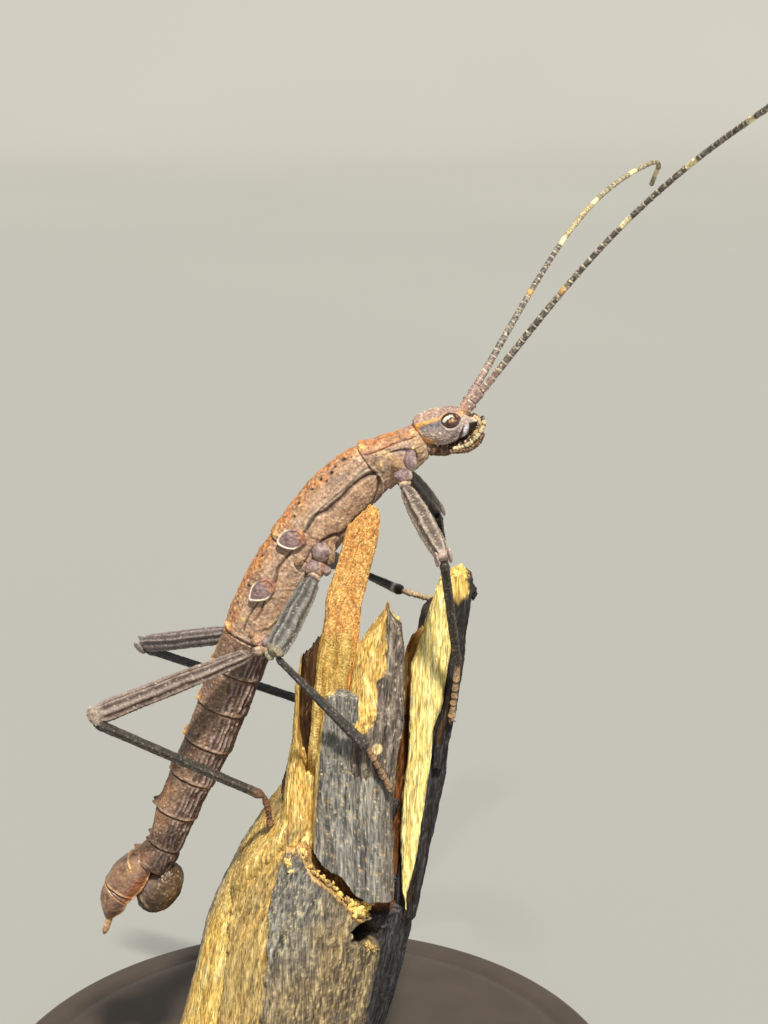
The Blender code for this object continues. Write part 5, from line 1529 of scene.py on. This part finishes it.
# Each board's colours: kinds of wood blended by height, by place across and by noise.
def boardPaint(name, grid, across, seed):
    x, y, z = grid[..., 0], grid[..., 1], grid[..., 2]
    paint = lambda kind, shift=0: woodPaint(kind, across, y, z, seed + shift)
    if name == "orange":
        skin = porousPaint(grid, seed)[0]
        lower = 1 - fade(48.6, 50.4, z + fibreNoise(across, y, z, (0.6, 2.5), seed))
        return blend(skin, lower, paint("yellow", 50) * 0.88)
    if name == "lip":
        return blend(paint("orange"), fade(47, 49, z) * 0.6, paint("yellow", 7))
    # the sunken board: dark brown wood, darker also as painted shade in the cleft beside the orange splinter
    if name == "sunken":
        return paint("dark")
    if name == "leftFace":
        skin = paint("yellow")
        low = 1 - fade(27, 32, z + 1.5 * fibreNoise(across, y, z, (0.7, 3), seed + 3))
        skin = blend(skin, low * 0.5, paint("olive", 11))
        patch = bell(np.hypot((x + 0.4) / 1.3, (z - 31.6) / 1.6), 1) * fade(-0.4, 0.3,
            fibreNoise(across, y, z, (0.5, 1.6), seed + 6))
        return blend(skin, patch, paint("brownBark", 21) * 0.75)
    if name == "slab":
        skin = paint("grey")
        tan = fade(0.4, 0.9, layered(coords(x / 0.5, z / 0.6, x * 0 + 0.5), seed + 31, 4)) * (1
            - fade(38, 42, z))
        skin = blend(skin, tan * 0.6, linear(214, 176, 124))
        skin = blend(skin, fade(6.2, 7.2, x) * 0.6, paint("scaly", 5))
        edge = bell(x - np.interp(z, (31, 39, 45), (0.95, 1.4, 2.1)), 0.16) * (y < -5.6)
        skin = blend(skin, edge * 0.85, linear(236, 196, 104))
        inner = fade(-7.1, -6.3, y) * (x < 3)
        return blend(skin, inner * 0.8, paint("yellow", 41))
    if name == "centre":
        border = np.interp(z, *np.array(barkSeam).T) + splitEdge(z, seed)
        bark = fade(-0.06, 0.06, x - border) * (y < -4.4)
        skin = blend(paint("yellow"), bark, paint("scaly", 61))
        spot = 1 - fade(0.75, 1.05, np.hypot((x - 6.45) / 0.45, (z - 40.9) / 0.5))
        return blend(skin, spot * (y < -5), linear(228, 206, 150))
    if name == "heel":
        return paint("olive")
    if name == "behind":
        return paint("olive") * np.array([1.0, 0.82, 0.66])
    # the crevice: wood painted dark orange-brown as shade in a deep slot
    if name == "crevice":
        return paint("shadedSlotBrown")
    if name == "plank":
        return paint("pale")
    # the rest are charred bark, darker also as painted shade on the side away from the light, with bright
    # yellow end grain at the top, lighter also as painted light
    skin = paint("charAndShade")
    tip = fade(52.3, 53.2, z + 0.5 * noise(grid / 0.8, seed)) * (1
        - fade(13.7, 14.1, x + 0.3 * noise(grid / 0.5, seed + 1)))
    skin = blend(skin, tip, woodPaint("brightYellow", across, y, z, seed + 5))
    brown = fade(0.1, 0.6, fibreNoise(across, y, z, (0.8, 6), seed + 8)) * 0.6
    return blend(skin, brown * (1 - tip), paint("dark", 71))


# A rounded-box profile carried up between a ragged foot and a ragged top, then closed over both ends.
def board(name, spec, seed, capRows=12, power=5):
    rows, columns = boardDetail[name]
    turn = 2 * np.pi * np.arange(columns) / columns
    reach = (np.abs(np.cos(turn)) ** power + np.abs(np.sin(turn)) ** power) ** (-1 / power)
    scale = np.concatenate([np.linspace(0.04, 0.98, capRows), np.ones(rows),
                            np.linspace(0.98, 0.04, capRows)])[:, None]
    t = np.concatenate([np.zeros(capRows), np.linspace(0, 1, rows), np.ones(capRows)])[:, None]
    u, w = (f(turn) * reach * scale for f in (np.cos, np.sin))
    table = {key: np.array(spec[key], float) for key in ("left", "right", "near", "far", "foot", "top")}

    def ragged(which, seedStep):
        height = np.interp(u, table[which][:, 0], table[which][:, 1])
        half = (table["right"][-1, 1] - table["left"][-1, 1]) / 2 + 1
        teeth = noise(coords(u * half / 0.32, w * 2.5, u * 0), seed + seedStep)
        finer = noise(coords(u * half / 0.13, w * 6, u * 0), seed + seedStep + 1)
        return height + spec["jag"] * (teeth * 0.6 + finer * 0.5 - 0.35 * np.abs(w))

    foot, top = ragged("foot", 80), ragged("top", 84)
    z = foot + (top - foot) * t
    left, right, near, far = (np.interp(z, table[key][:, 0], table[key][:, 1])
                              for key in ("left", "right", "near", "far"))
    centre = (left + right) / 2
    across, y = u * (right - left) / 2, (near + far) / 2 + w * (far - near) / 2
    body = (scale >= 1) * (0.35 + 0.65 * np.minimum(1, np.minimum(t, 1 - t) * 12))
    relief = fibreRelief(across, y, z, seed) * body
    away = np.stack([np.cos(turn), np.sin(turn)],
                    -1) / np.linalg.norm(coords(np.cos(turn), np.sin(turn)), axis=-1)[:, None]
    x = centre + across + away[:, 0] * (relief - 0.12)
    y = y + away[:, 1] * (relief - 0.12)
    grid = coords(x, y, z)
    return shell(grid, boardPaint(name, grid, across, seed))


branch = dict(
    rings=(  # height, middle in x, half breadth, half depth
        (9.5, -2.9, 9.1, 8.4), (16.0, -1.1, 9.1, 8.3), (21.5, 0.2, 9.0, 8.3), (28.0, 2.2, 8.1, 8.2),
        (31.5, 3.75, 7.55, 8.1),
        (34.0, 5.0, 7.0, 8.0), (38.0, 6.0, 6.6, 7.9)),
    outer=((11, -8.2), (14.1, -7.8), (16.9, -7.3), (21.3, -6.7), (24.6, -6.3), (26.3, -6.2), (30, -5.5)),
    slab=((9.5, -4.2), (15.8, -3.5), (22.0, -2.9), (26.2, -2.7), (29.5, -2.0), (31.0, -1.2), (36, 0)),
    crack=((-3, 31.0), (-0.8, 31.4), (0.0, 31.8), (1.1, 29.6), (2.6, 28.5), (4.0, 26.7), (4.6, 25.6),
           (8, 25.2)),
    dark=((9.5, 4.2), (15.3, 5.2), (18.9, 5.8), (22.4, 6.4), (25, 5.8), (28, 6.5), (38, 7)),
    hole=(5.35, 23.7), holeSize=(1.15, 1.45), inset=0.12,
)


# Elliptical rings with a finer mesh at the front; borders between layers are curves of x over the height.
def branchBody():
    rows, columns = 280, 300
    share = np.arange(columns) / columns
    turn = 2 * np.pi * share + 0.42 * np.sin(2 * np.pi * share) + np.pi / 2  # bunched towards the front
    z = np.concatenate([np.linspace(9.52, 34.5, rows - 8), np.linspace(34.55, 35.0, 8)])[:, None] + 0 * turn
    table = np.array(branch["rings"])
    x0, half, deep = (smoothValues(table[:, 0], table[:, i], z) for i in (1, 2, 3))
    closing = 1 - 0.55 * fade(34.4, 35.0, z)
    c, q = np.cos(turn), np.sin(turn)
    across = c * half * closing
    x, y = x0 + across, q * deep * closing
    front = 1 - fade(-2.5, 1.0, y)
    wander = 0.35 * fibreNoise(across, y, z, (0.8, 2.2), 401)
    past = lambda key: x - np.interp(z, *np.array(branch[key]).T)
    outer = past("outer") + wander
    slabEdge, darkEdge = (past(key) + wander * 0.8 for key in ("slab", "dark"))
    crack = z - np.interp(x, *np.array(branch["crack"]).T) + 0.3 * noise(np.stack([x / 0.4, z / 0.4, x * 0],
        -1), 403)
    onSlab = fade(-0.08, 0.08, slabEdge) * (1 - fade(-0.1, 0.1, crack)) * front
    onOuter = (1 - fade(-0.1, 0.1, outer)) * front
    onCharredShadedSide = fade(-0.3, 0.3, darkEdge)
    # a hole: sunk in, and painted near black as shade inside it
    hole = np.hypot((x - branch["hole"][0]) / branch["holeSize"][0],
                    (z - branch["hole"][1]) / branch["holeSize"][1])
    hole = hole + 0.25 * noise(coords(x / 0.6, z / 0.6, x * 0), 405)
    inHole = (1 - fade(0.75, 1.0, hole)) * (y < -2)
    relief = fibreRelief(across, y, z, 411) * (1 - inHole)
    crust = layered(coords(x / 0.22, y / 0.22, z / 0.6), 421, 3) * onSlab
    # the wood above the crack, behind the slab's edge, is sunk in and painted as shade in the recess
    above = fade(-0.05, 0.25, crack) * fade(-1.2, -0.6, slabEdge) * front * (x < 8.6)
    ribs = (1 - 2 * np.abs(fibreNoise(across, y, z, (0.5, 14), 423))) * onCharredShadedSide
    lift = -branch["inset"] + relief * (1 - onSlab * 0.6) + 0.3 * onSlab + crust * 0.05 - 0.35 * onOuter
    lift += (ribs * 0.2 - 2.2 * inHole - 1.5 * above * (1 - onCharredShadedSide * 0.5)
        + 0.1 * bell(crack + 0.25, 0.2) * onSlab)
    lift -= 2.6 * fade(26.5, 29.5, z) * fade(7.4, 8.3, x) * front
    lift *= fade(9.0, 11.0, z) * 0.5 + 0.5
    grid = coords(x + c * lift, y + q * lift, z)

    paint = lambda kind, seed: woodPaint(kind, across, y, z, seed)
    skin = paint("olive", 431)
    skin = blend(skin, fade(-0.3, 0.5, fibreNoise(across, y, z, (1.2, 8), 433)) * fade(20, 26, z),
                 paint("yellow", 435))
    greyPatch = fade(0.05, 0.5, fibreNoise(across, y, z, (0.9, 4), 437)) * fade(-2.8, -0.4, slabEdge) * 0.8
    skin = layers(skin, [
        (greyPatch, paint("scaly", 439) * 0.8),
        ((1 - front) * fade(-0.2, 0.5, fibreNoise(across, y, z, (2.2, 14), 441)), paint("grey", 443)),
        (onOuter, paint("brightYellow", 445)),
        (bell(outer, 0.1) * front * 0.5, 120, 100, 84),
        (onSlab, paint("grey", 447))])
    browning = ((1 - fade(17, 24, z - 1.2 * (x + 2) + 3 * noise(grid / 2.5, 449))) * onSlab
        + fade(3.0, 4.6, x) * onSlab * 0.6)
    skin = layers(skin, [
        (np.clip(browning, 0, 1), paint("brownBark", 451)),
        (fade(0.15, 0.7, crust) * onSlab * 0.6, 210, 190, 142),
        (fade(0.1, 0.7, -crust) * onSlab * 0.5, 66, 60, 54)])
    blotch = fade(0.1, 0.5, layered(grid / 1.1, 425, 3)) * onSlab
    skin = blend(skin, blotch * 0.45, linear(84, 80, 76))
    lines = fade(0.25, 0.75, fibreNoise(across, y, z, (0.2, 5), 457)) * (0.35 + 0.65 * fade(1.5, 4.0, x))
    skin = layers(skin, [
        (lines * onSlab * 0.6, 52, 44, 40),
        # the dark side: charred bark, darkened also as painted shade
        (onCharredShadedSide * (1 - inHole), paint("charAndShade", 453)),
        (fade(0.4, 0.9, ribs) * 0.45, 88, 88, 88),
        (above * 0.9, paint("shadedSlotBrown", 455)),
        (bell(crack + 0.15, 0.28) * front * fade(-1.6, -0.8, slabEdge) * (x < 5.2) * 0.6, 214, 164, 88),
        (inHole, 14, 11, 10)])
    return shell(grid, skin)


# The y of the branch's front face at a place.
def branchFront(x, z):
    table = np.array(branch["rings"])
    x0, half, deep = (smoothValues(table[:, 0], table[:, i], z) for i in (1, 2, 3))
    return -deep * np.sqrt(np.clip(1 - ((x - x0) / half) ** 2, 0.1, 1))


# Splintered wood along the crack: many small noisy chips, and a few larger lumps at its low end.
def crumbs():
    throws = np.random.RandomState(23)
    count = 62
    along = throws.uniform(0, 1, count)
    x = np.interp(along, (0, 0.12, 0.3, 0.6, 0.85, 1), (-1.3, -0.4, 0.5, 2.9, 4.9, 5.9)) + throws.normal(0,
        0.12, count)
    z = np.interp(x, (-1.5, -0.6, 0.2, 1.1, 2.6, 4.0, 5.0, 6.2),
                  (30.2, 31.1, 31.7, 30.2, 29.0, 27.6, 26.7, 26.9))
    z = z + throws.normal(0, 0.16, count) - 0.1
    size = throws.uniform(0.09, 0.26, count) * (1 + 0.5 * (x > 3.8))
    extra = np.array([(4.75, 26.15, 0.62), (5.2, 25.75, 0.4), (4.3, 26.5, 0.4), (-0.95, 30.2, 0.42),
        (-0.75, 29.7, 0.3), (5.8, 22.35, 0.44), (6.2, 22.0, 0.3), (5.4, 22.05, 0.26)])
    shells = []
    for k, (px, pz, r) in enumerate(np.vstack([coords(x, z, size), extra])):
        turn = throws.uniform(0, np.pi)
        c, q = math.cos(turn), math.sin(turn)
        axes = np.array([[c * 1.25, 0.2, -q * 1.25], [0.1, 0.62, 0.1], [q * 0.8, 0, c * 0.8]]) * r
        fine = (9, 12) if r < 0.4 else (22, 30)
        grid, way = ball((px, float(branchFront(px, pz)) - 0.05, pz), axes, *fine,
                         lambda way: 0.55 * layered(way * 1.9 + k * 7.7, 461, 3))
        tone = "olive" if k > count + 4 or k % 4 == 3 else "brightYellow"
        skin = woodPaint(tone, grid[..., 0] * 2, grid[..., 1] * 2, grid[..., 2] * 4, 463 + k)
        shells.append(shell(grid, skin))
    return shells


# The body with its crumbs, then each board as a piece of its own.
def makeWood():
    joined("branchBody", [branchBody()], woodMat, "wood", ["perch"])
    joined("branchCrumbs", crumbs(), woodMat, "wood")
    for k, (name, spec) in enumerate(boards.items()):
        joined("splinter_" + name, [board(name, spec, 500 + 90 * k)],
               porousMat if name == "orange" else woodMat, "wood")
    # a small dark scab of bark on the outer side of the tip
    grid, way = ball((14.35, -2.6, 52.85), np.array([[0.35, 0, 0.1], [0, 0.5, 0], [-0.1, 0, 0.62]]), 40, 50,
                     lambda way: 0.3 * layered(way * 2, 471, 3))
    joined("barkScab", [shell(grid, woodPaint("charAndShade", grid[..., 0], grid[..., 1], grid[..., 2], 473))],
           woodMat, "wood")


stand = dict(radius=29.0, thick=5.0, edge=0.8, rod=1.8, rodTop=9.7)


# A colour that drifts between two shades with a noise, joined to the shader: the noise is given back.
def cloudyColour(mat, shader, place, scale, detail, shades, stops=(0, 1)):
    cloud = addNode(mat, "TexNoise", {"Scale": scale, "Detail": detail}, {"Vector": place}).outputs["Fac"]
    tint = addNode(mat, "ValToRGB", {}, {"Fac": cloud})
    for element, stop, shade in zip(tint.color_ramp.elements, stops, shades):
        element.position = stop
        element.color = (*shade, 1)
    mat.node_tree.links.new(tint.outputs["Color"], shader.inputs["Base Color"])
    return cloud


# A plain finish: its colour and its gloss drift a little with one noise.
def satin(name, colour, roughness, metallic):
    mat, shader, place = newMaterial(name, Metallic=metallic)
    cloud = cloudyColour(mat, shader, place, 220, 6, (colour * 0.86, colour * 1.14), (0.3, 0.7))
    mat.node_tree.links.new(spread(mat, cloud, roughness - 0.06, roughness + 0.1),
                            shader.inputs["Roughness"])
    return mat


# A profile of (radius, height) turned round the upright axis.
def turned(name, profile, mat, slotName, node, columns=180):
    angle = 2 * np.pi * np.arange(columns) / columns
    profile = np.array(profile)
    grid = coords(profile[:, :1] * np.cos(angle), profile[:, :1] * np.sin(angle), profile[:, 1:]
        + 0 * angle)
    return surface(name, grid, mat, slotName=slotName, stands=[node])


# A round base and a short rod, each a profile turned about the upright axis.
def makeStand():
    low, edge, r, h = 0.0, stand["edge"], stand["radius"], stand["thick"]
    bend = np.linspace(0, np.pi / 2, 10)
    rim = [(r - edge + edge * math.cos(a), h - edge + edge * math.sin(a)) for a in bend]
    foot = [(r * 0.5, low), (r - 0.5, low), (r - 0.15, low + 0.15), (r, low + 0.5)]
    groove = [(r - 2.6, h), (r - 2.75, h - 0.12), (r - 3.0, h - 0.2), (r - 3.25, h - 0.12), (r - 3.4, h)]
    rows = np.linspace(r - 4.5, 2, 12)
    turned("standBase", foot + rim + [(r - 2.0, h)] + groove + [(x, h) for x in rows],
           satin("stainedWood", linear(70, 60, 52), 0.42, 0.0), "stand_base", "stand_base")
    q = stand["rod"]
    turned("standRod", [(q, h - 0.4)] + [(q + 0.9, h - 0.4), (q + 0.9, h + 0.5), (q + 0.6, h + 0.8),
        (q, h + 1.0)] + [(q, z) for z in np.linspace(h + 1.2, stand["rodTop"], 8)],
        satin("brushedSteel", linear(180, 180, 182), 0.3, 1.0), "stand_rod", "stand_rod")


makeWood()
makeStand()
print("wood and stand made")


room = dict(floor=2.4, rise=1.6, bend=0.5, lens=63, cameraAt=(0.007, -0.1449, 0.0978), look=-15)


# A pale sheet: flat in front, a quarter circle of the bend's radius, then straight up behind.
def makeRoom():
    turn = np.radians(np.linspace(0, 90, 24))
    back = room["floor"] / 2
    y = np.concatenate([[-back], back + np.sin(turn) * room["bend"], [back + room["bend"]]]) / mm
    z = np.concatenate([[0], room["bend"] * (1 - np.cos(turn)), [room["bend"] + room["rise"]]]) / mm
    x = np.linspace(-3, 3, 9) / mm
    grid = np.stack(np.broadcast_arrays(x[:, None], y[None, :], z[None, :]), -1)
    mat, shader, place = newMaterial("paleSheet", Roughness=0.85)
    cloudyColour(mat, shader, place, 3.0, 2.0, (linear(150, 151, 146), linear(158, 158, 153)))
    sheet = surface("sheet", grid, mat, around=False, caps=False)
    normal = sheet.data.polygons[0].normal
    if normal.z < 0:
        sheet.data.flip_normals()


# A light at a place, turned so that it shines along a direction.
def lamp(name, kind, energy, towards, place=(0, 0, 1), **settings):
    data = bpy.data.lights.new(name, kind)
    data.energy = energy
    for key, value in settings.items():
        setattr(data, key, value)
    light = bpy.data.objects.new(name, data)
    bpy.context.scene.collection.objects.link(light)
    light.location = place
    aim = np.array(towards, float)
    aim /= np.linalg.norm(aim)
    light.rotation_euler = (math.acos(-aim[2]), 0, math.atan2(aim[0], -aim[1]) + math.pi)


# A warm sun with soft shadows, a cool lamp from the front and a pale sky.
def makeLight():
    lamp("key", "SUN", 5.0, (-0.12, 0.5, -0.86), angle=math.radians(5), color=(1.0, 0.95, 0.86))
    lamp("fill", "AREA", 0.9, (-0.5, 1.0, -0.25), place=(0.5, -1.0, 0.35), size=0.8,
        color=(0.93, 0.96, 1.0))
    world = bpy.data.worlds.new("room")
    world.use_nodes = True
    glow = world.node_tree.nodes["Background"]
    glow.inputs["Color"].default_value = (0.88, 0.92, 1.0, 1)
    glow.inputs["Strength"].default_value = 0.34
    bpy.context.scene.world = world
    bpy.context.scene.view_settings.view_transform = "Standard"


# The camera stands at a place, level, and then tips down by the look angle.
def makeCamera():
    data = bpy.data.cameras.new("camera")
    data.lens = room["lens"]
    data.clip_start, data.clip_end = 0.005, 20
    camera = bpy.data.objects.new("camera", data)
    bpy.context.scene.collection.objects.link(camera)
    camera.location = room["cameraAt"]
    camera.rotation_euler = (math.radians(90 + room["look"]), 0, 0)
    bpy.context.scene.camera = camera


makeRoom()
makeLight()
makeCamera()
print("room, light and camera set")
